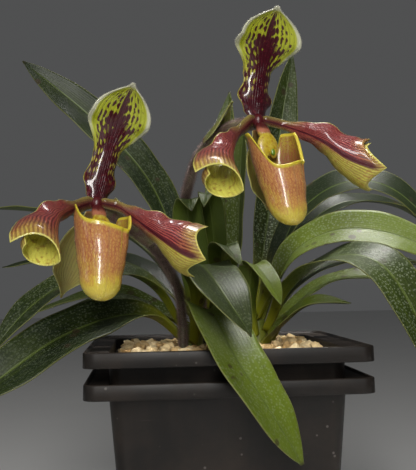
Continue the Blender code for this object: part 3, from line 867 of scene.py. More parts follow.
@dataclass(frozen=True)
class PetalFinish(Finish):
    """A glossy petal: rose with dark veins, yellow green under its middle vein and at its back."""

    rose: Colour = (0.33, 0.062, 0.052)
    wine: Colour = (0.055, 0.003, 0.01)
    lime: Colour = (0.43, 0.39, 0.06)
    # Its own pale yellow green, made paler still as painted light in the shaded curled ends.
    back: Colour = (0.62, 0.6, 0.11)
    margin: Colour = (0.56, 0.52, 0.13)
    roughness: float = 0.3

    def paint(self, g: Graph) -> None:
        """Adds the nodes.

        Args:
            g: The material's graph.
        """
        across, along, spot = g.place()
        under, tone = g.value_of("under"), g.value_of("tone")
        off = g.off_middle(across)
        cloud = g.noise(spot, 130.0, 4.0)
        stir = g.stray(cloud, 0.3)
        low = g.times(g.band(across, 0.53, 0.4), tone)
        reach = g.plus(g.plus(along, g.times(low, 0.42)), stir)
        limes = g.band(reach, 0.72, 1.12)
        front = g.blend(limes, self.rose, self.lime)
        front = g.blend(g.band(g.plus(along, stir), 0.26, 0.1, 0.0, 0.45), front, self.wine)
        veins = g.veins(across, along, 27.0, 0.36, 0.6)
        fine = g.veins(across, along, 61.0, 0.3, 1.9)
        net = g.band(g.net(g.times(across, 17.0), g.times(along, 26.0)), 0.14, 0.02, 0.0, 0.45)
        veins = g.band(veins, 0.06, 0.42)
        gaps = g.times(g.minus(1.0, veins), g.band(along, 0.36, 0.16))
        gaps = g.times(gaps, g.band(off, 0.1, 0.45))
        front = g.blend(g.times(gaps, 0.7), front, (0.46, 0.3, 0.1))
        mesh = g.most(g.most(veins, g.times(fine, 0.6)), net)
        strong = g.minus(0.95, g.times(limes, 0.45))
        front = g.blend(g.times(mesh, strong), front, g.blend(limes, self.wine, (0.13, 0.035, 0.02)))
        pale = g.band(g.noise(spot, 520.0, 3.0), 0.55, 0.76, 0.0, 0.22)
        front = g.blend(g.times(pale, g.band(off, 0.1, 0.3)), front, (0.42, 0.19, 0.13))
        freckles = g.times(g.band(g.noise(spot, 700.0, 3.0), 0.54, 0.66), limes)
        front = g.blend(g.times(freckles, 0.5), front, (0.26, 0.08, 0.02))
        line = g.times(g.band(off, 0.085, 0.045), g.band(along, 0.98, 0.9))
        front = g.blend(g.times(line, 0.95), front, self.wine)
        rear = g.blend(g.times(mesh, 0.16), self.back, (0.3, 0.14, 0.03))
        blots = g.band(g.noise(spot, 420.0, 4.0), 0.5, 0.66, 0.0, 0.6)
        rear = g.blend(blots, rear, (0.26, 0.09, 0.025))
        colour = g.blend(under, front, rear)
        edge = g.margin(across, 0.032, 0.02)
        foot_edge = g.margin(across, 0.55, 0.35)
        foot_edge = g.times(foot_edge, g.band(along, 0.36, 0.14))
        foot_edge = g.times(foot_edge, g.minus(1.0, g.times(veins, 0.8)))
        rim = g.most(edge, g.band(along, 0.982, 0.995))
        rim = g.most(g.times(rim, 0.85), g.times(foot_edge, 0.65))
        colour = g.blend(rim, colour, self.margin)
        grain = g.grain(spot, 2400.0)
        height = g.plus(g.times(mesh, -0.55), g.times(grain, 0.4))
        rough = g.plus(g.times(cloud, 0.16), self.roughness - 0.06)
        finish_material(g, colour, rough, height, 0.24, Specular_IOR_Level=0.22, Coat_Weight=0.3,
            Coat_Roughness=0.05)


@dataclass(frozen=True)
class DorsalFinish(Finish):
    """The dorsal sepal: white edged lime, with wine streaks in rows that run together below."""

    lime: Colour = (0.3, 0.33, 0.012)
    white: Colour = (0.5, 0.51, 0.37)
    wine: Colour = (0.036, 0.001, 0.005)
    fleck: Colour = (0.43, 0.38, 0.06)
    roughness: float = 0.26

    def paint(self, g: Graph) -> None:
        """Adds the nodes.

        Args:
            g: The material's graph.
        """
        across, along, spot = g.place()
        under = g.value_of("under")
        off = g.off_middle(across)
        cloud = g.noise(spot, 170.0, 4.0)
        field = g.blend(g.band(cloud, 0.35, 0.72, 0.0, 0.5), self.lime, (0.4, 0.42, 0.03))
        veins = g.veins(across, along, 15.0, 0.25, 0.2)
        field = g.blend(g.times(veins, 0.5), field, (0.11, 0.15, 0.006))
        size = g.times(g.band(along, 1.0, 0.45), 0.4)
        size = g.plus(size, g.times(g.band(off, 0.85, 0.2), 0.24))
        size = g.minus(size, g.plus(g.band(off, 0.66, 0.88, 0.0, 0.4), 0.02))
        spots = g.spots(across, along, 13.0, 13.0, size)
        streaks = g.noise(g.joined(g.times(across, 19.0), g.times(along, 5.0)), 1.0, 3.0)
        solid = g.plus(along, g.stray(streaks, 0.9))
        solid = g.plus(solid, g.times(off, 0.38))
        solid = g.band(solid, 0.8, 0.7)
        flecks = g.spots(across, along, 11.0, 13.0, 0.19)
        flecks = g.times(flecks, g.band(off, 0.2, 0.45))
        flecks = g.times(flecks, g.band(along, 0.14, 0.3))
        dark = g.most(spots, solid)
        dark = g.minus(dark, g.times(flecks, 0.85), clamp=True)
        stripe = g.times(g.band(off, 0.13, 0.07), g.band(along, 0.98, 0.9))
        dark = g.most(dark, stripe)
        low = g.blend(g.band(along, 0.55, 0.3), field, self.fleck)
        front = g.blend(dark, low, self.wine)
        blush = g.band(g.noise(spot, 640.0, 3.0), 0.5, 0.75, 0.0, 0.4)
        blush = g.times(blush, g.band(along, 0.7, 0.1, 0.3, 1.0))
        front = g.blend(g.times(blush, dark), front, (0.2, 0.018, 0.028))
        rear = g.blend(g.times(dark, 0.45), g.blend(0.4, self.lime, self.white), self.wine)
        colour = g.blend(under, front, rear)
        edge = g.margin(across, 0.15, 0.07)
        foot_edge = g.margin(across, 0.05, 0.03)
        colour = g.blend(g.times(foot_edge, 0.6), colour, self.fleck)
        wide = g.band(along, 0.46, 0.66)
        rim = g.most(g.times(edge, wide), g.band(along, 0.955, 0.99))
        colour = g.blend(rim, colour, self.white)
        grain = g.grain(spot, 2400.0)
        height = g.plus(g.times(veins, -0.6), g.times(grain, 0.35))
        rough = g.plus(g.times(cloud, 0.14), self.roughness - 0.05)
        finish_material(g, colour, rough, height, 0.26, Specular_IOR_Level=0.25, Coat_Weight=0.5,
            Coat_Roughness=0.05)


@dataclass(frozen=True)
class SepalFinish(Finish):
    """The synsepal and bracts: pale yellow green with brown vein lines or spots."""

    pale: Colour = (0.2, 0.16, 0.028)
    vein: Colour = (0.09, 0.055, 0.012)
    spot: Colour = (0.13, 0.035, 0.04)
    spotted: float = 0.0

    def paint(self, g: Graph) -> None:
        """Adds the nodes.

        Args:
            g: The material's graph.
        """
        across, along, spot = g.place()
        cloud = g.noise(spot, 150.0, 4.0)
        veins = g.veins(across, along, 13.0, 0.25, 0.25)
        colour = g.blend(g.band(cloud, 0.35, 0.7, 0.0, 0.5), self.pale, (0.2, 0.22, 0.04))
        colour = g.blend(g.times(veins, 0.6), colour, self.vein)
        spots = g.spots(across, along, 9.0, 22.0, 0.22)
        colour = g.blend(g.times(spots, self.spotted), colour, self.spot)
        foot = g.band(along, 0.16, 0.0, 0.0, 0.5)
        colour = g.blend(foot, colour, (0.22, 0.05, 0.04))
        edge = g.margin(across, 0.1, 0.06)
        colour = g.blend(g.times(edge, 0.6), colour, (0.4, 0.4, 0.14))
        grain = g.grain(spot, 2200.0)
        height = g.plus(g.times(veins, -0.5), g.times(grain, 0.5))
        finish_material(g, colour, 0.4, height, 0.17, Subsurface_Weight=0.06, Subsurface_Scale=0.002)


@dataclass(frozen=True)
class PouchFinish(Finish):
    """The pouch: glossy ochre below, clouds of rosy net above and a clear yellow rim."""

    ochre: Colour = (0.52, 0.4, 0.045)
    rose: Colour = (0.23, 0.04, 0.03)
    rim: Colour = (0.52, 0.42, 0.03)
    roughness: float = 0.24

    def paint(self, g: Graph) -> None:
        """Adds the nodes.

        Args:
            g: The material's graph.
        """
        across, along, spot = g.place()
        under = g.value_of("under")
        cloud = g.noise(spot, 120.0, 4.0)
        patches = g.noise(g.joined(g.times(across, 14.0), g.times(along, 3.2)), 1.0, 5.0)
        net = g.band(g.net(g.times(across, 46.0), g.times(along, 17.0)), 0.24, 0.02)
        veins = g.veins(across, along, 40.0, 0.32, 2.2)
        veins = g.times(g.band(veins, 0.08, 0.6), g.band(patches, 0.36, 0.6, 0.25, 1.0))
        mesh = g.most(g.times(net, 0.55), g.times(veins, 0.85))
        down = g.plus(along, g.stray(patches, 0.9))
        rosy = g.times(g.band(along, 0.02, 0.07), g.band(down, 0.88, 0.48))
        base = g.blend(g.band(cloud, 0.3, 0.75, 0.0, 0.5), self.ochre, (0.5, 0.45, 0.07))
        base = g.blend(g.times(rosy, 0.7), base, (0.39, 0.135, 0.075))
        share = g.times(mesh, g.plus(g.times(rosy, 0.66), 0.18))
        colour = g.blend(share, base, self.rose)
        freckles = g.band(g.noise(spot, 900.0, 3.0), 0.54, 0.68, 0.0, 0.5)
        colour = g.blend(g.times(freckles, rosy), colour, self.rose)
        dots = g.stipple(spot, 1300.0, 0.5)
        stripes = g.most(g.times(dots, 0.7), g.times(veins, 0.5))
        # The inner wall turns darker and browner deeper down: painted shade inside the pouch.
        inside = g.blend(g.band(along, 0.3, 0.05), (0.2, 0.1, 0.018), (0.32, 0.23, 0.018))
        inside = g.blend(stripes, inside, self.rose)
        colour = g.blend(under, colour, inside)
        # A thin line of rim yellow down the crease of the upper pouch is a painted highlight.
        fold = g.calc("ABSOLUTE", g.minus(across, 0.083))
        fold = g.times(g.band(fold, 0.007, 0.002), g.band(along, 0.42, 0.25))
        colour = g.blend(g.times(fold, 0.6), colour, self.rim)
        edge = g.band(along, 0.034, 0.018)
        colour = g.blend(edge, colour, self.rim)
        grain = g.grain(spot, 2200.0)
        height = g.plus(g.times(mesh, -0.35), g.times(grain, 0.35))
        rough = g.plus(g.times(cloud, 0.16), self.roughness - 0.06)
        rough = g.plus(rough, g.times(under, 0.35))
        finish_material(g, colour, rough, height, 0.17, Specular_IOR_Level=0.3, Coat_Weight=0.45,
            Coat_Roughness=0.06, Subsurface_Weight=0.04, Subsurface_Scale=0.002)


@dataclass(frozen=True)
class SkinFinish(Finish):
    """Plain plant skin, mottled in two colours: stems, ovaries, columns, growths and hairs."""

    first: Colour
    second: Colour
    roughness: float = 0.5
    size: float = 240.0
    coat: float = 0.0

    def paint(self, g: Graph) -> None:
        """Adds the nodes.

        Args:
            g: The material's graph.
        """
        spot = g.spot()
        mottle = g.band(g.noise(spot, self.size, 5.0, 0.6), 0.34, 0.68)
        colour = g.blend(mottle, self.first, self.second)
        dots = g.stipple(spot, 1700.0, 0.42)
        colour = g.blend(g.times(dots, 0.35), colour, self.second)
        grain = g.grain(spot, 2300.0)
        rough = g.plus(g.times(mottle, 0.12), self.roughness - 0.06)
        finish_material(g, colour, rough, grain, 0.14, Coat_Weight=self.coat, Coat_Roughness=0.12)


@dataclass(frozen=True)
class ColumnFinish(Finish):
    """The column: rosy at its core, with a waxy yellow shield freckled in brown."""

    core: Colour = (0.07, 0.006, 0.009)
    blush: Colour = (0.36, 0.13, 0.07)
    yellow: Colour = (0.43, 0.31, 0.014)
    pale: Colour = (0.52, 0.42, 0.06)

    def paint(self, g: Graph) -> None:
        """Adds the nodes.

        Args:
            g: The material's graph.
        """
        spot = g.spot()
        cloud = g.noise(spot, 420.0, 4.0)
        colour = g.blend(g.band(cloud, 0.35, 0.7), self.yellow, self.pale)
        freckles = g.band(g.noise(spot, 800.0, 3.0), 0.5, 0.62, 0.0, 0.65)
        colour = g.blend(freckles, colour, (0.28, 0.12, 0.015))
        share = g.plus(g.value_of("tone"), g.stray(cloud, 0.4))
        colour = g.blend(g.band(share, 0.95, 0.6), colour, self.blush)
        colour = g.blend(g.band(share, 0.55, 0.15), colour, self.core)
        grain = g.grain(spot, 2300.0)
        rough = g.plus(g.times(cloud, 0.15), 0.22)
        finish_material(g, colour, rough, grain, 0.12, Coat_Weight=0.15, Coat_Roughness=0.1,
            Subsurface_Weight=0.06, Subsurface_Scale=0.002)


@dataclass(frozen=True)
class FloorFinish(Finish):
    """The plain pale floor."""

    def paint(self, g: Graph) -> None:
        """Adds the nodes.

        Args:
            g: The material's graph.
        """
        spot = g.spot()
        colour = g.blend(g.noise(spot, 6.0), (0.66, 0.66, 0.65), (0.7, 0.7, 0.69))
        finish_material(g, colour, 0.85, g.noise(spot, 300.0), 0.05)


class Finishes:
    """Every material, made once."""

    def __init__(self) -> None:
        """Makes them."""
        make_effects()
        self.pot = PlasticFinish("Dark plastic").build()
        self.bark = BarkFinish("Bark and pumice").build()
        self.leaf = LeafFinish("Leaf").build()
        self.growth = SkinFinish("Leaf base",
            (0.15, 0.165, 0.018), (0.07, 0.1, 0.012), 0.45, 90.0).build()
        self.petal = PetalFinish("Petal").build()
        self.dorsal = DorsalFinish("Dorsal sepal").build()
        self.synsepal = SepalFinish("Synsepal").build()
        self.bract = SepalFinish("Bract", (0.15, 0.2, 0.03), spotted=0.7).build()
        self.pouch = PouchFinish("Pouch").build()
        self.column = ColumnFinish("Column").build()
        self.wart = SkinFinish("Column wart",
            (0.14, 0.25, 0.015), (0.08, 0.17, 0.01), 0.3, 300.0, 0.4).build()
        self.ovary = SkinFinish("Ovary", (0.12, 0.13, 0.035), (0.085, 0.03, 0.028), 0.55,
            330.0).build()
        self.stem = SkinFinish("Flower stem",
            (0.05, 0.05, 0.014), (0.038, 0.019, 0.013), 0.6, 330.0).build()
        self.pale_hair = SkinFinish("Pale hair",
            (0.62, 0.6, 0.5), (0.5, 0.48, 0.38), 0.5, 90.0).build()
        self.dark_hair = SkinFinish("Purple hair",
            (0.13, 0.075, 0.07), (0.25, 0.18, 0.15), 0.5, 90.0).build()


# Geometry node trees for what repeats


def new_geometry_tree(name: str, **inputs: str) -> Graph:
    """Starts a Geometry Nodes tree that takes and gives geometry.

    Args:
        name: The tree's name.
        inputs: The kind of each input after the geometry, by its title.

    Returns:
        A graph on the tree.
    """
    tree = bpy.data.node_groups.new(name, "GeometryNodeTree")
    tree.interface.new_socket(name="Geometry", in_out="INPUT", socket_type="NodeSocketGeometry")
    for title, kind in inputs.items():
        tree.interface.new_socket(name=title, in_out="INPUT", socket_type=f"NodeSocket{kind}")
    tree.interface.new_socket(name="Geometry", in_out="OUTPUT", socket_type="NodeSocketGeometry")
    return Graph(tree)


def end_geometry(g: Graph, placed: object, finish: object) -> None:
    """Makes a tree's instances real, gives them a material and ends the tree.

    Args:
        g: The tree's graph.
        placed: The socket of the instances.
        finish: The socket of the material.
    """
    real = g.add("GeometryNodeRealizeInstances", {"Geometry": placed})
    dressed = g.add("GeometryNodeSetMaterial", {"Geometry": real.outputs[0], "Material": finish})
    g.add("NodeGroupOutput", {0: dressed.outputs[0]})


def random_number(g: Graph, low: object, high: object, seed: object) -> object:
    """Draws a number for each point or instance and returns its socket."""
    made = g.add("FunctionNodeRandomValue", {2: low, 3: high, "Seed": seed}, data_type="FLOAT")
    return made.outputs[1]


def grow(name: str, base: Mesh, graph: Graph, values: dict[str, object]) -> Mesh:
    """Runs a Geometry Nodes tree over a mesh and keeps what it makes.

    Args:
        name: Name of the result.
        base: The mesh that it runs over.
        graph: The tree's graph.
        values: The tree's inputs by title.

    Returns:
        The made mesh.
    """
    carrier = add_object(name, base)
    step = carrier.modifiers.new("grow", "NODES")
    step.node_group = graph.tree
    for item in graph.tree.interface.items_tree:
        if item.item_type == "SOCKET" and item.in_out == "INPUT" and item.name in values:
            step[item.identifier] = values[item.name]
    bpy.context.view_layer.update()
    depsgraph = bpy.context.evaluated_depsgraph_get()
    made = bpy.data.meshes.new_from_object(carrier.evaluated_get(depsgraph))
    carrier.modifiers.remove(step)
    bpy.data.objects.remove(carrier)
    made.name = name
    return made


def make_hair_tree() -> Graph:
    """Makes the tree that stands fine tapered hairs on a surface where it is marked hairy.

    Returns:
        A graph on the tree.
    """
    g = new_geometry_tree("Hairs", Density="Float", Length="Float", Width="Float", Lean="Float",
        Seed="Int", Finish="Material")
    given = g.add("NodeGroupInput").outputs
    mark = g.add("GeometryNodeInputNamedAttribute", {"Name": "hair"}, data_type="FLOAT")
    dense = g.times(given["Density"], mark.outputs[0])
    spread = g.add("GeometryNodeDistributePointsOnFaces", {"Mesh": given["Geometry"], "Density":
        dense, "Seed": given["Seed"]})
    hair = g.add("GeometryNodeMeshCone", {"Vertices": 3, "Radius Top": 0.0, "Radius Bottom":
        given["Width"], "Depth": given["Length"]}, fill_type="NONE")
    back = g.times(given["Lean"], -1.0)
    lean = g.add("FunctionNodeRandomValue", {0: g.joined(back, back, 0.0),
        1: g.joined(given["Lean"], given["Lean"], tau), "Seed": given["Seed"]},
        data_type="FLOAT_VECTOR")
    turn = g.add("FunctionNodeEulerToRotation", {0: lean.outputs[0]})
    rotated = g.add("FunctionNodeRotateRotation", {0: spread.outputs["Rotation"],
        1: turn.outputs[0]}, rotation_space="LOCAL")
    size = random_number(g, 0.45, 1.15, given["Seed"])
    placed = g.add("GeometryNodeInstanceOnPoints", {"Points": spread.outputs["Points"], "Instance":
        hair.outputs["Mesh"], "Rotation": rotated.outputs[0], "Scale": size})
    end_geometry(g, placed.outputs[0], given["Finish"])
    return g


def make_chip_tree() -> Graph:
    """Makes the tree that heaps chips of several shapes on a surface.

    Returns:
        A graph on the tree.
    """
    g = new_geometry_tree("Chips", Density="Float", Apart="Float", Least="Float", Most="Float",
        Seed="Int", Shapes="Collection", Finish="Material")
    given = g.add("NodeGroupInput").outputs
    spread = g.add("GeometryNodeDistributePointsOnFaces", {"Mesh": given["Geometry"],
        "Distance Min": given["Apart"], "Density Max": given["Density"], "Seed": given["Seed"]},
        distribute_method="POISSON")
    shapes = g.add("GeometryNodeCollectionInfo", {"Collection": given["Shapes"],
        "Separate Children": True, "Reset Children": True})
    turn = g.add("FunctionNodeRandomValue", {0: (-0.6, -0.6, 0.0), 1: (0.6, 0.6, tau),
        "Seed": given["Seed"]}, data_type="FLOAT_VECTOR")
    euler = g.add("FunctionNodeEulerToRotation", {0: turn.outputs[0]})
    size = random_number(g, given["Least"], given["Most"], given["Seed"])
    placed = g.add("GeometryNodeInstanceOnPoints", {"Points": spread.outputs["Points"], "Instance":
        shapes.outputs[0], "Pick Instance": True, "Rotation": euler.outputs[0], "Scale": size})
    shade = random_number(g, 0.16, 1.0, given["Seed"])
    stored = g.add("GeometryNodeStoreNamedAttribute", {"Geometry": placed.outputs[0],
        "Name": "shade", "Value": shade}, data_type="FLOAT", domain="INSTANCE")
    end_geometry(g, stored.outputs[0], given["Finish"])
    return g


@dataclass(frozen=True)
class HairCoat:
    """Hairs on one piece: how many a square millimetre, their size and lean in radians."""

    density: float
    length: float
    width: float = 0.045
    lean: float = 0.5
    seed: int = 3

    def dress(self, name: str, base: Mesh, tree: Graph, finish: Material, slot: Slot) -> Object:
        """Stands the hairs on a mesh that has a "hair" value at each point.

        Args:
            name: Name of the piece.
            base: The mesh below them.
            tree: The hair tree.
            finish: Their material.
            slot: The record's slot.

        Returns:
            The hairs' object.
        """
        made = grow(name, base.copy(), tree, {"Density": self.density / MM ** 2, "Length":
            self.length * MM, "Width": self.width * MM, "Lean": self.lean, "Seed": self.seed,
            "Finish": finish})
        return add_piece(name, made, finish, slot)


# Pots and growing medium


@dataclass(frozen=True)
class PotForm:
    """Sizes of one thin tapered pot with an overhanging rim."""

    rim_width: float = 130.0
    skirt: float = 7.0
    overhang: float = 10.4
    lip: float = 1.4
    step: float = 1.2
    height: float = 120.0
    rise: float = 14.0
    taper: float = 0.078
    wall: float = 0.8
    floor: float = 1.5
    corner: float = 6.0
    drain: float = 3.5
    drain_spread: float = 30.0

    def half(self, height: float) -> float:
        """Reads half the body's outer width at a height above the pot's bottom."""
        return self.rim_width / 2 - self.overhang - self.taper * (self.height - height)


def square_ring(half: float, height: float, corner: float, steps: int) -> list[Vector]:
    """Lays points round a square with round corners.

    Args:
        half: Half its width.
        height: Its height.
        corner: The corner's radius.
        steps: Pieces in a corner.

    Returns:
        The points, anticlockwise from above.
    """
    corner = min(corner, half - 1)
    ring = []
    for quarter in range(4):
        turn = quarter * pi / 2
        for step in range(steps + 1):
            angle = turn + step / steps * pi / 2
            x = (half - corner) * copysign(1, cos(turn + 0.7)) + corner * cos(angle)
            y = (half - corner) * copysign(1, sin(turn + 0.7)) + corner * sin(angle)
            ring.append(Vector((x, y, height)))
    return ring


def square_loft(name: str, sections: Sequence[tuple[float, float, float]], steps: int) -> Mesh:
    """Lofts a closed solid through rounded squares.

    Args:
        name: The mesh's name.
        sections: Half width, height and corner radius of each.
        steps: Pieces in a corner.

    Returns:
        The mesh in metres.
    """
    rings = [square_ring(*section, steps) for section in sections]
    points = [p * MM for ring in rings for p in ring]
    return new_mesh(name, points, tube_faces(len(rings), len(rings[0])))


@dataclass
class Pots:
    """The two nested nursery pots."""

    form: PotForm
    finishes: Finishes

    def mesh(self, name: str, rise: float) -> Mesh:
        """Makes one pot's mesh with softened edges.

        Args:
            name: The mesh's name.
            rise: Height of its bottom.

        Returns:
            The mesh, before its drain holes.
        """
        f = self.form
        rim, top = f.rim_width / 2, f.height
        plate, skirt = top - f.step - f.wall, top - f.skirt
        profile = [
            (f.half(0) - 1.6, 0, f.corner - 2), (f.half(0) - 0.5, 0.25, f.corner - 2),
            (f.half(1), 1, f.corner - 2), (f.half(60), 60, f.corner - 1),
            (f.half(plate - 1.2), plate - 1.2, f.corner),
            (f.half(plate) + 0.3, plate - 0.3, f.corner),
            (f.half(plate) + 1.2, plate, f.corner), (rim - 1.8, plate, f.corner - 1.2),
            (rim - 1.2, plate - 0.6, f.corner - 1.2), (rim - 1.2, skirt + 0.2, f.corner - 1.2),
            (rim - 1.0, skirt, f.corner - 1), (rim - 0.2, skirt, f.corner),
            (rim, skirt + 0.25, f.corner), (rim - 0.1, top - 3, f.corner),
            (rim - 0.15, top - 0.7, f.corner), (rim - 0.35, top - 0.2, f.corner - 0.2),
            (rim - 0.7, top, f.corner - 0.5), (rim - f.lip + 0.2, top, f.corner - f.lip),
            (rim - f.lip - 0.15, top - 0.25, f.corner - f.lip),
            (rim - f.lip - 0.6, top - f.step + 0.2, f.corner - f.lip),
            (rim - f.lip - 1.0, top - f.step, f.corner - f.lip),
            (f.half(top) - f.wall + 0.9, top - f.step, f.corner - f.wall),
            (f.half(top) - f.wall + 0.2, top - f.step - 0.3, f.corner - f.wall),
            (f.half(top) - f.wall, top - f.step - 1.0, f.corner - f.wall),
            (f.half(f.floor) - f.wall, f.floor, f.corner - 2),
        ]
        sections = [(half, height + rise, corner) for half, height, corner in profile]
        return square_loft(name, sections, 9)

    def build(self) -> None:
        """Makes both pots with their drain holes and fine edges."""
        f = self.form
        spots = [(x, y) for x in (-1, 0, 1) for y in (-1, 0, 1) if x or y]
        for node, rise in (("outer_pot", 0.0), ("inner_pot", f.rise)):
            name = f"{node}_shell"
            pot = add_object(name, self.mesh(name, rise))
            for x, y in spots:
                form = bmesh.new()
                place = Vector((x * f.drain_spread, y * f.drain_spread, rise)) * MM
                bmesh.ops.create_cone(form, cap_ends=True, segments=20, radius1=f.drain * MM,
                    radius2=f.drain * MM, depth=6 * f.floor * MM, matrix=Matrix.Translation(place))
                boolean(pot, "DIFFERENCE", add_object("drain", freed_mesh("drain", form)))
            mesh = taken_mesh(name, pot)
            piece = add_piece(name, mesh, self.finishes.pot, Slot.POT, (node,))
            mesh.set_sharp_from_angle(angle=radians(50))
            LOG.info("%s: %d faces", piece.name, len(mesh.polygons))


@dataclass(frozen=True)
class ChipLayer:
    """One layer of the heap: its rise, inset, spacing and chip sizes, and its seed."""

    rise: float
    inset: float
    apart: float
    least: float
    most: float
    seed: int


@dataclass(frozen=True)
class MediumForm:
    """Sizes of the potting mix and its chips."""

    top: float = 127.5
    shapes: int = 9
    corners: int = 14
    worn: float = 0.05
    seed: int = 11
    tries: float = 2.0e5
    layers: tuple[ChipLayer, ...] = (ChipLayer(-1.0, 3.4, 3.0, 4.2, 6.5, 2), ChipLayer(1.6, 4.6,
        4.4, 5.2, 8.0, 5), ChipLayer(3.6, 6.4, 5.6, 5.6, 9.0, 9))


@dataclass
class Medium:
    """The potting mix: a bed of near-black painted shade with chips of several sizes heaped on it.
    """

    form: MediumForm
    pot: PotForm
    finishes: Finishes

    def chip(self, draw: random.Random) -> Mesh:
        """Makes one chip a metre across: a hull with worn edges.

        Args:
            draw: The seeded source of its shape.

        Returns:
            The mesh.
        """
        form = bmesh.new()
        for _ in range(self.form.corners):
            way = Vector([draw.gauss(0, 1) for _ in range(3)]).normalized()
            form.verts.new(way * draw.uniform(0.43, 0.52))
        bmesh.ops.convex_hull(form, input=form.verts)
        loose = [v for v in form.verts if not v.link_faces]
        bmesh.ops.delete(form, geom=loose, context="VERTS")
        squash = Matrix.Diagonal((1.0, draw.uniform(0.65, 0.95), draw.uniform(0.5, 0.8), 1))
        bmesh.ops.transform(form, matrix=squash, verts=form.verts)
        bmesh.ops.bevel(form, geom=form.edges[:], offset=self.form.worn, segments=1, affect="EDGES",
            profile=0.6, clamp_overlap=True)
        bmesh.ops.recalc_face_normals(form, faces=form.faces)
        return freed_mesh("chip", form)

    def build(self) -> None:
        """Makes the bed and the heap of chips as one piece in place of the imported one."""
        draw = random.Random(self.form.seed)
        group = bpy.data.collections.new("Chip shapes")
        bpy.context.scene.collection.children.link(group)
        for _ in range(self.form.shapes):
            group.objects.link(bpy.data.objects.new("chip shape", self.chip(draw)))
        tree = make_chip_tree()
        pot = self.pot
        low = pot.rise + pot.floor + GAP
        sections = []
        for height in (low, self.form.top):
            half = pot.half(height - pot.rise) - pot.wall - GAP
            sections.append((half, height, pot.corner - 1))
        bed = square_loft("bed", sections, 6)
        # The bed takes the darkest colour: painted shade between the chips.
        set_values(bed, "shade", [0.0] * len(bed.vertices), "POINT")
        parts = [bed]
        inner = pot.half(self.form.top - pot.rise) - pot.wall
        for layer in self.form.layers:
            level = self.form.top + layer.rise
            floor = flat_square("floor", (inner - layer.inset) * MM, level * MM)
            parts.append(grow("chips", floor, tree, {"Density": self.form.tries,
                "Apart": layer.apart * MM, "Least": layer.least * MM, "Most": layer.most * MM,
                "Seed": layer.seed, "Shapes": group, "Finish": self.finishes.bark}))
        form = bmesh.new()
        for part in parts:
            form.from_mesh(part)
        mesh = freed_mesh("growing_mix", form)
        for shape in list(group.objects):
            bpy.data.objects.remove(shape)
        bpy.data.collections.remove(group)
        add_piece("growing_mix", mesh, self.finishes.bark, Slot.BARK, ("growing_medium",))
        mesh.set_sharp_from_angle(angle=radians(40))
        LOG.info("growing mix: %d faces", len(mesh.polygons))


# Growth stems and leaves


GROWTHS = {"left": (-13.0, -5.0, 143.0), "middle": (-3.0, 15.0, 146.0), "right": (20.0, 2.0, 144.0)}


@dataclass(frozen=True)
class GrowthForm:
    """Sizes of a growth stem."""

    radius: float = 5.0
    foot: float = 108.0


@dataclass(frozen=True)
class LeafForm:
    """One strap leaf: its midrib's points, width, rolls and fold in degrees, and tone."""

    midrib: Sequence[Point]
    width: float
    roll_foot: float
    roll_tip: float
    fold: float
    tone: float


@dataclass(frozen=True)
class BladeForm:
    """Sizes that every leaf shares."""

    thickness: float = 1.0
    foot_width: float = 8.0
    foot_fold: float = 47.0
    rows: int = 64
    columns: int = 21
    swell_end: float = 0.42
    taper_start: float = 0.62
    taper_power: float = 2.4
    ripple: float = 0.25


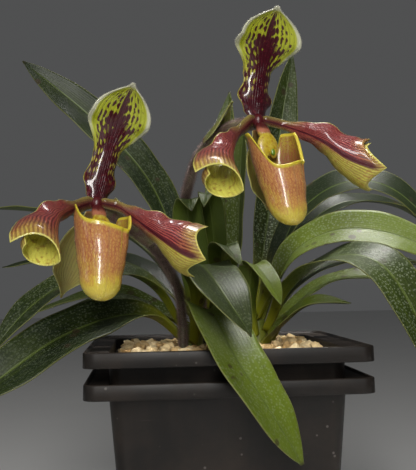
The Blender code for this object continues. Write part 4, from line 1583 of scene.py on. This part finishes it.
LEAVES = {
    "tall_left": LeafForm(((-5.5, 15, 147), (-18, 17, 178), (-34, 21, 218), (-62, 25, 251),
        (-101, 28, 285)), 24, 30, 70, 14, 0.05),
    "sliver_left": LeafForm(((-9.1, 16.4, 141), (-35, 28, 180), (-68, 42, 200), (-102, 52, 206),
        (-130, 56, 208)), 17, 0, 0, 12, 0.1),
    "dim_left": LeafForm(((-6.3, 20.6, 137), (-36, 50, 170), (-72, 72, 180), (-122, 88, 175)),
        19, 10, 25, 12, 0),
    "arch_left": LeafForm(((-19.8, -3.2, 141), (-32, -8, 160), (-47, -15, 169), (-63, -22, 168),
        (-80, -28, 161), (-94, -33, 150), (-109, -38, 132)), 20, 20, 25, 14, 0.09),
    "low_left": LeafForm(((-19.5, -6.3, 135), (-35, -13, 147), (-54, -22, 147), (-77, -35, 139),
        (-96, -47, 127), (-117, -58, 111)), 26, 25, 50, 14, 0.06),
    "thin_left": LeafForm(((-18.4, -0.3, 133), (-40, 5, 153), (-60, 4, 155), (-82, 2, 149)),
        12, 20, 10, 14, 0.3),
    "thin_back": LeafForm(((-9.8, 13, 135), (-45, 24, 157), (-68, 32, 157), (-98, 38, 149)),
        15, 20, 20, 14, 0.3),
    "front_hanging": LeafForm(((-12.5, -12, 133), (-9, -30, 148), (-7, -52, 149), (1, -76, 131),
        (14, -86, 109), (27, -84, 87)), 29, 0, 10, 12, 0.82),
    "broad_front": LeafForm(((-12, -7.5, 144), (-9, -16, 159), (-10, -31, 170), (-11, -46, 171),
        (-8, -64, 166), (-2, -79, 155), (6, -90, 141)), 29, 0, 15, 12, 0.16),
    "folded_mid": LeafForm(((-5.8, -5, 136), (3, -10, 160), (1, -24, 176), (1, -41, 180),
        (7, -52, 171)), 15, 0, 0, 20, 0.2),
    "olive_mid": LeafForm(((18.8, -5.2, 136), (15, -10, 155), (16, -18, 171), (22, -29, 164),
        (27, -37, 152)), 13, 0, 0, 25, 0.9),
    "tall_right": LeafForm(((18, 4.5, 145), (28, 24, 186), (37, 37, 231), (44, 44, 267),
        (50, 48, 295)), 20, -40, -60, 20, 0.14),
    "tall_mid": LeafForm(((-2.5, 18.5, 147), (3, 30, 186), (9, 40, 240), (13, 44, 271)),
        18, 0, 0, 20, 0.4),
    "curl_left": LeafForm(((-12, -2.5, 144), (-12, -5, 175), (-15, -11, 196), (-15, -20, 204),
        (-14, -29, 198)), 16, 0, 0, 10, 0.12),
    "curl_right": LeafForm(((-3, 11.5, 147), (-1, 2, 178), (-3, -8, 200), (-6, -18, 207),
        (-8, -27, 200)), 13, 0, 0, 15, 0.2),
    "strap_mid": LeafForm(((1, 14.5, 147), (11, 11.5, 172), (14, 11, 206), (16, 13, 233),
        (19, 16, 250)), 20, -20, -20, 20, 0.5),
    "arch_right": LeafForm(((22.5, 2, 145), (33, 2, 177), (45, 0, 200), (66, -5, 213),
        (89, -11, 209), (114, -17, 184)), 20, -35, -45, 14, 0.0),
    "arch_right_back": LeafForm(((23.2, 8, 140), (38, 19, 173), (54, 23, 195), (76, 26, 206),
        (106, 30, 202), (132, 34, 183)), 20, -20, -20, 14, 0.03),
    "glare_right": LeafForm(((21.5, -2.2, 145), (29, -12, 162), (39, -17, 179), (60, -23, 188),
        (86, -31, 184), (112, -40, 169)), 23, -40, -50, 12, 0.85),
    "over_right": LeafForm(((25.7, -1.6, 138), (36, -19, 161), (52, -39, 174), (69, -54, 171),
        (81, -63, 152), (91, -66, 122)), 26, -10, -30, 10, 0.16),
    "back_right": LeafForm(((26, 6.4, 135), (44, 22, 160), (70, 30, 173), (106, 36, 173),
        (136, 38, 163)), 19, -15, -15, 14, 0.1),
    "low_right": LeafForm(((27.2, 1.4, 131), (39, 3, 149), (56, 1, 162), (76, -4, 165),
        (98, -10, 159)), 15, -20, -20, 12, 0.75),
    "short_right": LeafForm(((22.8, -5, 130), (31, -16, 142), (44, -22, 152), (63, -26, 152)),
        13, -20, -20, 20, 0.75),
}


@dataclass
class Leaves:
    """The growth stems and every leaf."""

    growth: GrowthForm
    blade: BladeForm
    finishes: Finishes

    def width(self, share: float, width: float) -> float:
        """Reads the full width of a blade.

        Args:
            share: Place from foot to tip.
            width: Its greatest width.

        Returns:
            The width there.
        """
        b = self.blade
        swell = lerp(b.foot_width, width, ease(share / b.swell_end))
        past = max(0.0, (share - b.taper_start) / (1 - b.taper_start))
        return max(0.7, swell * (1 - past ** b.taper_power))

    def grid(self, leaf: LeafForm) -> Grid:
        """Lays the middle surface of a leaf.

        Args:
            leaf: The leaf.

        Returns:
            Points in rows from foot to tip.
        """
        b = self.blade
        route = smooth_route(leaf.midrib, b.rows)
        heading = Vector((*(route[-1] - route[0]).xy, 0)).normalized()
        right = heading.cross(Vector((0, 0, 1)))
        length = sum((q - p).length for p, q in zip(route, route[1:]))
        grid = []
        for share, place, way in zip(shares(b.rows), route, directions(route)):
            side = (right - way * right.dot(way)).normalized()
            face = side.cross(way)
            roll = radians(lerp(leaf.roll_foot, leaf.roll_tip, share))
            side, face = (side * cos(roll) + face * sin(roll), face * cos(roll) - side * sin(roll))
            gutter = radians(lerp(b.foot_fold, leaf.fold, ease(share / 0.45)))
            half = self.width(share, leaf.width) / 2
            row = []
            for t in shares(b.columns, -1.0):
                wave = 0.02 * leaf.width * abs(t) * sin(share * length / 9 + (2 if t > 0 else 0))
                wave += b.ripple * t * t * sin(share * length / 3.7 + (1 if t > 0 else 4))
                lift = half * abs(t) ** 1.3 * sin(gutter) + wave * ease(share * 3)
                row.append(place + side * (half * t * cos(gutter)) + face * lift)
            grid.append(row)
        return grid

    def build(self) -> None:
        """Makes the growth stems and the leaves."""
        g = self.growth
        for name, (x, y, top) in GROWTHS.items():
            radii = (g.radius * 0.85, g.radius, g.radius, g.radius * 0.8)
            line = ((x, y, top), (x, y, lerp(top, g.foot, 0.5)), (x, y, g.foot))
            mesh = pipe_mesh(f"growth_{name}_stem", line, radii, 30, 32)
            add_piece(mesh.name, mesh, self.finishes.growth, Slot.LEAF_BASE, (f"growth_{name}",))
        for name, leaf in LEAVES.items():
            title = f"leaf_{name}_blade"
            mesh = blade_mesh(title, self.grid(leaf), self.blade.thickness, tone=leaf.tone)
            add_piece(title, mesh, self.finishes.leaf, Slot.LEAF, (f"leaf_{name}",))
        LOG.info("leaves: %d", len(LEAVES))


# Blooms


@dataclass(frozen=True)
class PetalForm:
    """One petal: its middle's points, the width, curl and lead of each half, and its rolls."""

    midline: Sequence[Point]
    low: Point
    high: Point
    roll_foot: float
    roll_end: float


@dataclass(frozen=True)
class BloomForm:
    """One bloom: where and how it stands, and the points that its stem's pieces pass."""

    centre: Point
    turns: Point
    petals: dict[Hand, PetalForm]
    dorsal: Point
    pouch: Point
    rim: Point
    dorsal_lean: float
    synsepal_lean: float
    flare: float
    ovary: Sequence[Point]
    bract: Sequence[Point]
    stem: Sequence[Point]

    def place(self) -> Matrix:
        """Finds the turn from the bloom's own axes to the plant's.

        Returns:
            The matrix, in millimetres.
        """
        turns = [radians(a) for a in self.turns]
        return (Matrix.Translation(Vector(self.centre)) @ Matrix.Rotation(turns[0], 4, "Z") @
            Matrix.Rotation(turns[1], 4, "Y") @ Matrix.Rotation(turns[2], 4, "X"))


@dataclass(frozen=True)
class BallForm:
    """An ellipsoid of the column: its radii, place and forward tilt in degrees."""

    radii: Point
    centre: Point
    tilt: float


@dataclass(frozen=True)
class FlowerForm:
    """Sizes that both blooms share."""

    thickness: float = 0.8
    petal_horn: float = 5.5
    petal_notch: float = 4.5
    synsepal_length: float = 41.0
    synsepal_width: float = 20.0
    pouch_wall: float = 0.9
    pouch_back: float = 7.5
    pouch_sides: Stations = ((0, 10.8), (0.2, 12.0), (0.4, 11.2), (0.6, 10.0), (0.78, 8.6))
    pouch_depths: Stations = ((0, 7.5), (0.2, 9.3), (0.4, 10.2), (0.6, 9.8), (0.78, 8.4))
    toe_start: float = 0.78
    ear_rise: float = 0.45
    back_drop: float = 0.024
    back_gap: float = 0.17
    core_radius: float = 3.2
    core: BallForm = BallForm((2.6, 2.6, 3.2), (0, 0, 0), 0)
    neck: BallForm = BallForm((3.2, 5.4, 2.2), (0, -4.3, -5.2), 55)
    shield: BallForm = BallForm((5.3, 1.7, 6.2), (0, -8.5, -11.7), -14)
    wart: BallForm = BallForm((1.1, 0.8, 1.6), (1.0, -10.3, -14.6), -14)
    stem_radius: float = 1.8
    ovary_radii: tuple[float, ...] = (2.3, 2.7, 2.2)
    petal_fuzz: HairCoat = HairCoat(3.0, 0.8, 0.05)
    dorsal_fuzz: HairCoat = HairCoat(16.0, 0.7, 0.045, 0.6, 5)
    ovary_fuzz: HairCoat = HairCoat(10.0, 1.6, 0.05, 0.5, 7)
    bract_fuzz: HairCoat = HairCoat(3.0, 1.0, 0.035, 0.5, 9)
    stem_fuzz: HairCoat = HairCoat(9.0, 2.0, 0.055, 0.5, 11)


BLOOMS = {
    "left": BloomForm(
        (-57, -75, 198), (22, 8, -5),
        {Hand.LEFT: PetalForm(((-60, -76.2, 198.2), (-65.2, -83, 195.6), (-70.2, -96, 190.8),
                               (-70.4, -110, 182.8), (-68.2, -123, 172.8)),
                              (26, 215, 1.0), (23, 112, 2.0), 22, 0),
         Hand.RIGHT: PetalForm(((-54, -76, 198), (-47, -76, 196), (-39.5, -81.6, 190.2),
                                (-30.1, -87, 182.6), (-20.9, -91, 176), (-12.1, -94, 172.8)),
                               (16, 62, 1.6), (18, 80, 1.6), 15, 14)},
        (51.0, 0.31, 27.5), (43.5, 13.0, -1.8), (0.085, 0.125, 0.17),
        7, 6, 24,
        ((-55.4, -72, 196.4), (-44, -61, 190), (-34.5, -51.5, 182)),
        ((-34.6, -49.8, 184.4), (-42.7, -56.5, 192.6), (-49.6, -60.8, 201.6)),
        ((-34.1, -50.9, 181.4), (-31, -44, 178), (-26, -30, 171), (-21, -21, 160),
         (-19, -17, 146), (-19, -17, 128), (-19, -17, 112))),
    "right": BloomForm(
        (13, -75, 233), (29, 4, 1),
        {Hand.LEFT: PetalForm(((10.1, -76.2, 233), (3.6, -84, 225.6), (-0.6, -98, 215.6),
                               (-1, -111, 206.6), (0.6, -123, 198.2)),
                              (26, 215, 1.0), (23, 112, 2.0), 22, 0),
         Hand.RIGHT: PetalForm(((16, -76, 232.8), (25.2, -76, 230.2), (38.1, -83, 223.6),
                                (49.3, -87, 215), (59.5, -90, 210.4), (64.8, -91, 210)),
                               (13.5, 62, 1.6), (18, 82, 1.6), 15, 10)},
        (48.5, 0.2, 33.0), (46.5, 16.5, 1.6), (0.185, 0.11, 0.3),
        1, -15, 3,
        ((11.9, -72.2, 232.8), (3, -56, 233), (-6, -42, 229)),
        ((-7.3, -42.3, 231.7), (-1.8, -54, 237), (3, -64, 244)),
        ((-6.5, -41.3, 228.6), (-11, -35, 223), (-14, -26, 215), (-16, -12, 206),
         (-16, 0, 193), (-12, 6, 176), (-8, 6, 158), (-8, 6, 140), (-8, 6, 112))),
}


def rib_arm(half: float, curl: float, lead: float, steps: int) -> list[Vector]:
    """Lays half a rib, from the middle to a margin.

    Args:
        half: Its length.
        curl: How far the margin is turned, in radians.
        lead: How early it bends.
        steps: Points on it.

    Returns:
        Across and back of each point.
    """
    arm = []
    place = Vector((0.0, 0.0))
    for step in range(steps):
        bend = curl * (1 - (1 - (step + 0.5) / steps) ** lead)
        place = place + Vector((cos(bend), sin(bend))) * (half / steps)
        arm.append(place)
    return arm


def edge_share(u: float, band: float) -> float:
    """Reads how far a place across is into the band at a margin."""
    return ease((abs(u - 0.5) * 2 - 1 + band) / band)


def margin_hair(u: float, v: float) -> float:
    """Reads how dense hairs are on the dorsal sepal."""
    return edge_share(u, 0.1) * ease((v - 0.45) / 0.3) + 2.5 * ease((v - 0.95) / 0.05)


def foot_hair(u: float, v: float) -> float:
    """Reads how dense hairs are on a petal."""
    return edge_share(u, 0.14) * ease((0.5 - v) / 0.4)


def even_hair(u: float, v: float) -> float:
    """Reads how dense hairs are on a bract."""
    return 0.25 + edge_share(u, 0.15)


@dataclass
class Bloom:
    """One bloom with its petals, sepals, pouch, column, ovary, bract and stem."""

    side: str
    bloom: BloomForm
    form: FlowerForm
    finishes: Finishes
    hairs: Graph

    @cached_property
    def place(self) -> Matrix:
        """Finds the turn from the bloom's own axes to the plant's."""
        return self.bloom.place()

    def petal_grid(self, hand: Hand) -> Grid:
        """Lays the middle surface of a petal: a narrow foot, a broad blade and a notched end.

        Args:
            hand: Which petal.

        Returns:
            The points in rows.
        """
        rows, steps = 72, 14
        f, petal = self.form, self.bloom.petals[hand]
        route = smooth_route(petal.midline, rows)
        widths = ((0, 0.13), (0.16, 0.14), (0.35, 0.3), (0.53, 0.52), (0.76, 0.82), (0.92, 1.0),
            (1, 0.97))
        grid = []
        for share, middle, way in zip(shares(rows), route, directions(route)):
            up = Vector((0, 0, 1))
            up = (up - way * up.dot(way)).normalized()
            front = way.cross(up) * hand.value
            roll = radians(lerp(petal.roll_foot, petal.roll_end, share))
            up, front = (up * cos(roll) + front * sin(roll), front * cos(roll) - up * sin(roll))
            arms = []
            for half, curl, lead in (petal.low, petal.high):
                bend = radians(lerp(25, curl, ease(share / 0.7)))
                arms.append(rib_arm(half * through(widths, share), bend, lead, steps))
            low, high = arms
            row = []
            spots = [Vector((-p.x, p.y)) for p in reversed(low)] + [Vector((0, 0))] + high
            for j, spot in enumerate(spots):
                t = abs(j / steps - 1)
                upper = j > steps
                cut = (f.petal_horn * t + f.petal_notch * sin(pi * t)) * ease(share) ** 3
                wave = 0.8 * t * sin(share * 11 + (0 if upper else 1.6)) * ease(share * 3)
                wave += 0.4 * t ** 3 * sin(share * 33 + (0 if upper else 2.0))
                wave *= 1 - 0.8 * ease((share - 0.8) / 0.2)
                hump = 1.6 * t ** 3 * exp(-((share - 0.44) / 0.09) ** 2) if upper else 0.0
                row.append(middle - way * cut + up * (spot.x + hump) - front * (spot.y + wave))
            grid.append(row)
        inward = Vector(self.bloom.centre) - route[0]
        inner = []
        for share in (0.85, 0.57, 0.28):
            inner.append([p.lerp(route[0], share * 0.35) + inward * share for p in grid[0]])
        return inner + grid

    def dorsal_grid(self) -> Grid:
        """Lays the dorsal sepal: a rolled-back neck under a broad hood with a nib.

        Returns:
            The points in rows, in the bloom's own axes.
        """
        rows, columns = 72, 31
        f = self.form
        height, nod, width = self.bloom.dorsal
        reach = -height * nod
        middle = smooth_route(((0, 0.6, f.core_radius + GAP + 0.1), (0, 0, height * 0.3),
            (0, reach * 0.23, height * 0.62), (0, reach * 0.58, height * 0.86), (0, reach, height)),
            rows)
        widths = ((0, 0.38), (0.12, 0.52), (0.38, 0.5), (0.67, 1.0))
        bends = ((0, 45), (0.35, 60), (0.55, 20), (0.7, -25), (1, -30))
        side = Vector((1, 0, 0))
        grid = []
        for share, spine, way in zip(shares(rows), middle, directions(middle)):
            front = way.cross(side) * -1
            top = max(0.0, (share - 0.67) / 0.33)
            nib = lerp(0.15, 0.04, (top - 0.88) / 0.12)
            part = max((1 - min(1.0, top / 0.93) ** 2.1) ** 0.8, nib)
            half = width / 2 * (part if top > 0 else through(widths, share))
            bend = radians(through(bends, share))
            row = []
            for t in shares(columns, -1.0):
                flat = abs(bend) < 0.02
                across = half * t if flat else half / bend * sin(t * bend)
                back = 0 if flat else half / bend * (1 - cos(t * bend))
                ruffle = t ** 4 * sin(share * 31 + (0 if t > 0 else 2.2))
                ruffle *= through(((0, 0.3), (0.1, 1.3), (0.3, 0.9), (0.5, 0.2), (1, 0.1)), share)
                spread = 1 + 0.16 * abs(t) ** 3 * exp(-((share - 0.13) / 0.07) ** 2)
                row.append(spine + side * across * spread - front * (back + ruffle))
            grid.append(row)
        inner = []
        for k, narrow in ((3, 0.25), (2, 0.6), (1, 0.85)):
            shift = Vector((0, -0.3, -1.15)) * k
            inner.append([p.lerp(middle[0], 1 - narrow) + shift for p in grid[0]])
        return inner + grid

    def synsepal_grid(self) -> Grid:
        """Lays the synsepal, which hangs behind the pouch.

        Returns:
            The points in rows, in the bloom's own axes.
        """
        rows, columns = 48, 19
        length, flare = self.form.synsepal_length, self.bloom.flare
        middle = smooth_route(((0, 1.4, -self.form.core_radius - GAP), (0, 3 + flare * 0.3,
            -length * 0.32), (0, 3 + flare * 0.7, -length * 0.66), (0, 1 + flare, -length * 0.95)),
            rows)
        side = Vector((1, 0, 0))
        grid = []
        for share, spine, way in zip(shares(rows), middle, directions(middle)):
            width = through(((0, 0.4), (0.4, 1), (0.65, 0.9), (1, 0.05)), share)
            half = self.form.synsepal_width / 2 * width
            front = way.cross(side)
            row = []
            for t in shares(columns, -1.0):
                rise = half * 0.45 * t * t + 0.25 * t * t * sin(share * 24 + t)
                row.append(spine + side * half * t + front * rise)
            grid.append(row)
        return grid

    def pouch_point(self, angle: float, share: float, inset: float = 0.0) -> Vector:
        """Finds a point of the pouch's wall in the bloom's own axes.

        Args:
            angle: Turn round the pouch from its front.
            share: 0 at the rim, 1 at the toe.
            inset: How far inside the outer face.

        Returns:
            The point.
        """
        f = self.form
        deep, lean, slant = self.bloom.pouch
        ahead = cos(angle)
        level = lerp(self.rim(angle), 1, share)
        wide, thick = through(f.pouch_sides, level), through(f.pouch_depths, level)
        if level > f.toe_start:
            dome = sqrt(max(0.0, 1 - ((level - f.toe_start) / (1 - f.toe_start)) ** 2))
            wide, thick = wide * dome, thick * dome
        flare = 0.7 * max(0.0, 1 - share / 0.05) ** 2
        x = (wide + flare - inset) * sin(angle) + slant * level
        y = -f.pouch_back - lean * level - (thick + flare - inset) * ahead
        crease = 0.7 * exp(-((angle - 0.62) / 0.1) ** 2) * max(0.0, 1 - share / 0.6)
        return Vector((x, y + crease, -deep * level + inset * 0.8 * share))

    def rim(self, angle: float) -> float:
        """Finds how far down the pouch its rim lies: steep beside the right ear.

        Args:
            angle: Turn round the pouch from its front.

        Returns:
            The share of the pouch's length.
        """
        left_ear, right_ear, front_drop = self.bloom.rim
        ahead = cos(angle)
        right = ease((sin(angle) + 0.6) / 1.2)
        gentle, steep = ease((ahead + 0.1) / 0.9), ease((ahead - 0.2) / 0.4)
        back = self.form.back_drop * ease((-ahead - 0.4) / 0.6)
        back += self.form.back_gap * ease((-ahead - 0.6) / 0.28)
        return lerp(left_ear, right_ear, right) + front_drop * lerp(gentle, steep, right) + back

    def pouch_mesh(self, name: str) -> Mesh:
        """Makes the pouch: an outer and an inner wall joined by a rounded rim.

        Args:
            name: The mesh's name.

        Returns:
            The closed mesh in metres.
        """
        rings, around = 44, 84
        wall = self.form.pouch_wall
        points, places, faces, under = [], [], [], []
        shares = [1 - (1 - r / rings) ** 1.3 for r in range(rings)]
        walls = [(share, wall, 1.0) for share in reversed(shares)]
        walls += [(-0.012, wall * 0.5, 0.5)]
        walls += [(share, 0.0, 0.0) for share in shares]
        for share, inset, inner in walls:
            for step in range(around):
                angle = tau * step / around
                if angle > pi:
                    angle -= tau
                spot = self.pouch_point(angle, max(share, 0.0), inset)
                if share < 0:
                    spot.z += self.form.ear_rise
                points.append(self.place @ spot * MM)
                places.append((step / around, max(share, 0.0)))
        for ring in range(len(walls) - 1):
            for step in range(around):
                a, b = ring * around + step, ring * around + (step + 1) % around
                faces.append((a, a + around, b + around, b))
                under.append((walls[ring][2] + walls[ring + 1][2]) / 2)
        deep, lean, slant = self.bloom.pouch
        base = Vector((slant, -self.form.pouch_back - lean, -deep))
        for first, inset, inner in ((0, wall, 1.0), ((len(walls) - 1) * around, 0.0, 0.0)):
            toe = len(points)
            points.append(self.place @ (base + Vector((0, 0, inset * 0.8))) * MM)
            places.append((0.5, 1.0))
            for step in range(around):
                a, b = first + step, first + (step + 1) % around
                faces.append((a, b, toe) if inner else (b, a, toe))
                under.append(inner)
        mesh = new_mesh(name, points, faces)
        set_places(mesh, np.array(places))
        set_values(mesh, "under", under, "FACE")
        return mesh

    def bract_grid(self) -> Grid:
        """Lays the bract: half a pipe that is open towards the ovary.

        Returns:
            The points in rows.
        """
        rows, columns = 36, 15
        ovary = self.bloom.ovary
        middle = smooth_route(self.bloom.bract, rows)
        grid = []
        for share, spine, way in zip(shares(rows), middle, directions(middle)):
            toward = Vector(ovary[-1]).lerp(Vector(ovary[0]), share * 0.7) - spine
            toward = (toward - way * toward.dot(way)).normalized()
            across = way.cross(toward)
            half = through(((0, 4.5), (0.35, 6.0), (1, 0.8)), share)
            row = []
            for t in shares(columns, -1.0):
                row.append(spine + across * half * sin(t * 1.25) / 1.25 * 1.1 + toward * half *
                    (1 - cos(t * 1.25)) * 0.8)
            grid.append(row)
        return grid

    def ball(self, name: str, part: BallForm) -> Object:
        """Makes a smooth ellipsoid of the column.

        Args:
            name: The object's name.
            part: Its form, in the bloom's own axes.

        Returns:
            The object, in metres.
        """
        form = bmesh.new()
        bmesh.ops.create_uvsphere(form, u_segments=40, v_segments=24, radius=1)
        turn = (self.place @ Matrix.Translation(Vector(part.centre)) @
            Matrix.Rotation(radians(part.tilt), 4, "X") @ Matrix.Diagonal((*part.radii, 1)))
        if name == "shield":
            for vert in form.verts:
                lobe = max(0.0, -vert.co.z) ** 2
                vert.co.x *= 1 + 0.12 * lobe - 0.25 * max(0.0, vert.co.z) ** 2
                vert.co.z += 0.28 * lobe * exp(-(vert.co.x / 0.22) ** 2)
                vert.co.y += 0.35 * (vert.co.x ** 2)
        for vert in form.verts:
            vert.co = (turn @ vert.co) * MM
        return add_object(name, freed_mesh(name, form))

    def column(self) -> None:
        """Makes the column with its shield, and the small green wart on the shield."""
        f = self.form
        core = self.ball("core", f.core)
        for name, part in (("neck", f.neck), ("shield", f.shield)):
            boolean(core, "UNION", self.ball(name, part))
        name = f"{self.side}_bloom_column_shield"
        mesh = taken_mesh(name, core)
        home = self.place.inverted()
        down = [-(home @ (v.co / MM)).z for v in mesh.vertices]
        set_values(mesh, "tone", [(z - 2.0) / 5.5 for z in down], "POINT")
        add_piece(name, mesh, self.finishes.column, Slot.COLUMN, (f"{self.side}_bloom_column",))
        name = f"{self.side}_bloom_column_wart"
        wart = taken_mesh(name, self.ball(name, f.wart))
        add_piece(name, wart, self.finishes.wart, Slot.COLUMN)

    def placed(self, grid: Grid, lean: float = 0.0) -> Grid:
        """Turns a grid from the bloom's own axes to the plant's, after a sideways lean."""
        turn = self.place @ Matrix.Rotation(radians(lean), 4, "Y")
        return [[turn @ p for p in row] for row in grid]

    def show(self, node: str, mesh: Mesh, finish: Material, slot: Slot,
             coat: HairCoat | None = None, hair: Material | None = None) -> None:
        """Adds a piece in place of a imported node, with its coat of hairs.

        Args:
            node: The node's name after the side.
            mesh: The piece's mesh.
            finish: Its material.
            slot: The record's slot.
            coat: Its hairs, or None for bare.
            hair: Their material.
        """
        add_piece(mesh.name, mesh, finish, slot, (f"{self.side}_{node}",))
        if coat is not None:
            part = node.removesuffix("_sepal")
            coat.dress(f"{self.side}_{part}_hairs", mesh, self.hairs, hair, slot)

    def build(self) -> None:
        """Makes every piece of the bloom."""
        f, bloom, finishes, side = self.form, self.bloom, self.finishes, self.side
        dark, pale = finishes.dark_hair, finishes.pale_hair
        for hand in Hand:
            part = f"bloom_petal_{hand.name.lower()}"
            turned = hand is Hand.RIGHT
            mesh = blade_mesh(f"{side}_{part}_blade", self.petal_grid(hand), f.thickness,
                flip=turned, tone=float(turned), hair=foot_hair)
            self.show(part, mesh, finishes.petal, Slot.PETAL, f.petal_fuzz, dark)
        hood = self.placed(self.dorsal_grid(), bloom.dorsal_lean)
        mesh = blade_mesh(f"{side}_bloom_dorsal_hood", hood, f.thickness, hair=margin_hair)
        self.show("bloom_dorsal_sepal", mesh, finishes.dorsal, Slot.SEPAL,
            f.dorsal_fuzz, pale)
        synsepal = self.placed(self.synsepal_grid(), bloom.synsepal_lean)
        mesh = blade_mesh(f"{side}_bloom_synsepal_blade", synsepal, f.thickness, flip=True)
        self.show("bloom_synsepal", mesh, finishes.synsepal, Slot.SEPAL)
        mesh = self.pouch_mesh(f"{side}_bloom_pouch_cup")
        self.show("bloom_pouch", mesh, finishes.pouch, Slot.POUCH)
        self.column()
        mesh = pipe_mesh(f"{side}_bloom_ovary_tube", bloom.ovary, f.ovary_radii, 40, 36, 0.07)
        self.show("bloom_ovary", mesh, finishes.ovary, Slot.STEM, f.ovary_fuzz, dark)
        mesh = blade_mesh(f"{side}_bloom_bract_sheath", self.bract_grid(), f.thickness,
            hair=even_hair)
        self.show("bloom_bract", mesh, finishes.bract, Slot.SEPAL, f.bract_fuzz, pale)
        mesh = pipe_mesh(f"{side}_flower_stem_tube", bloom.stem, (f.stem_radius,) * 2, 120, 28)
        self.show("flower_stem", mesh, finishes.stem, Slot.STEM, f.stem_fuzz, dark)
        LOG.info("%s bloom done", side)


# Camera, lights and floor


@dataclass(frozen=True)
class CameraForm:
    """The fitted camera: place in millimetres, turns in degrees and lens."""

    place: Point = (-37.4, -458.9, 164.2)
    yaw: float = 4.12
    pitch: float = 2.93
    roll: float = 1.17
    lens: float = 68.86


@dataclass(frozen=True)
class LightForm:
    """One soft lamp: place, aim, width and height in metres, power, and spread in degrees."""

    name: str
    place: Point
    aim: Point
    width: float
    height: float
    power: float
    spread: float = 180.0
    colour: Colour = (1.0, 0.98, 0.95)


@dataclass
class Studio:
    """The camera, the soft lights and the plain floor."""

    camera: CameraForm
    lights: Sequence[LightForm]
    floor_half: float = 4.0

    def add_camera(self) -> None:
        """Sets the camera where the photograph was taken from."""
        c = self.camera
        yaw, pitch, roll = (radians(a) for a in (c.yaw, c.pitch, c.roll))
        way = Vector((sin(yaw) * cos(pitch), cos(yaw) * cos(pitch), sin(pitch)))
        right = Vector((cos(yaw), -sin(yaw), 0))
        up = right.cross(way)
        right, up = (right * cos(roll) - up * sin(roll), right * sin(roll) + up * cos(roll))
        data = bpy.data.cameras.new("Camera")
        data.lens = c.lens
        data.dof.use_dof = False
        data.clip_start = 0.01
        made = add_object("Camera", data)
        turn = Matrix((right, up, -way)).transposed().to_4x4()
        made.matrix_world = Matrix.Translation(Vector(c.place) * MM) @ turn
        bpy.context.scene.camera = made

    def build(self) -> None:
        """Makes the camera, lamps, floor and background."""
        self.add_camera()
        for form in self.lights:
            data = bpy.data.lights.new(form.name, "AREA")
            data.shape = "RECTANGLE"
            data.size = form.width
            data.size_y = form.height
            data.spread = radians(form.spread)
            data.energy = form.power
            data.color = form.colour
            lamp = add_object(form.name, data)
            lamp.location = form.place
            aim = Vector(form.aim) - Vector(form.place)
            lamp.rotation_euler = aim.to_track_quat("-Z", "Y").to_euler()
        mesh = flat_square("floor", self.floor_half, 0.0)
        mesh.materials.append(FloorFinish("Floor").build())
        floor = add_object("floor", mesh)
        floor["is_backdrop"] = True
        world = bpy.data.worlds.new("Studio")
        world.use_nodes = True
        back = world.node_tree.nodes["Background"]
        back.inputs[0].default_value = (0.8, 0.81, 0.82, 1)
        back.inputs[1].default_value = 0.1
        bpy.context.scene.world = world
        bpy.context.scene.view_settings.view_transform = "Standard"


LIGHTS = (
    LightForm("Key light", (-0.07, -1.00, 0.62), (0.0, 0.0, 0.18), 0.14, 0.7, 10.5),
    LightForm("Top light", (0.14, 0.06, 0.8), (0.09, -0.03, 0.18), 0.2, 0.2, 0.28, 32.0),
    LightForm("Fill light", (-0.95, -0.35, 0.65), (0.0, 0.0, 0.15), 0.6, 0.6, 1.6),
)


def main() -> None:
    """Builds the orchid's looks in order and reports on them."""
    logging.basicConfig(level=logging.INFO, format="%(name)s: %(message)s")
    Studio(CameraForm(), LIGHTS).build()
    finishes = Finishes()
    pot = PotForm()
    Pots(pot, finishes).build()
    Medium(MediumForm(), pot, finishes).build()
    Leaves(GrowthForm(), BladeForm(), finishes).build()
    hairs = make_hair_tree()
    for side, bloom in BLOOMS.items():
        Bloom(side, bloom, FlowerForm(), finishes, hairs).build()
    bpy.context.view_layer.update()
    meshes = [piece.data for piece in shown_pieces() if piece.type == "MESH"]
    LOG.info("%d triangles in all", sum(len(m.loops) - 2 * len(m.polygons) for m in meshes))


if __name__ == "__main__":
    main()
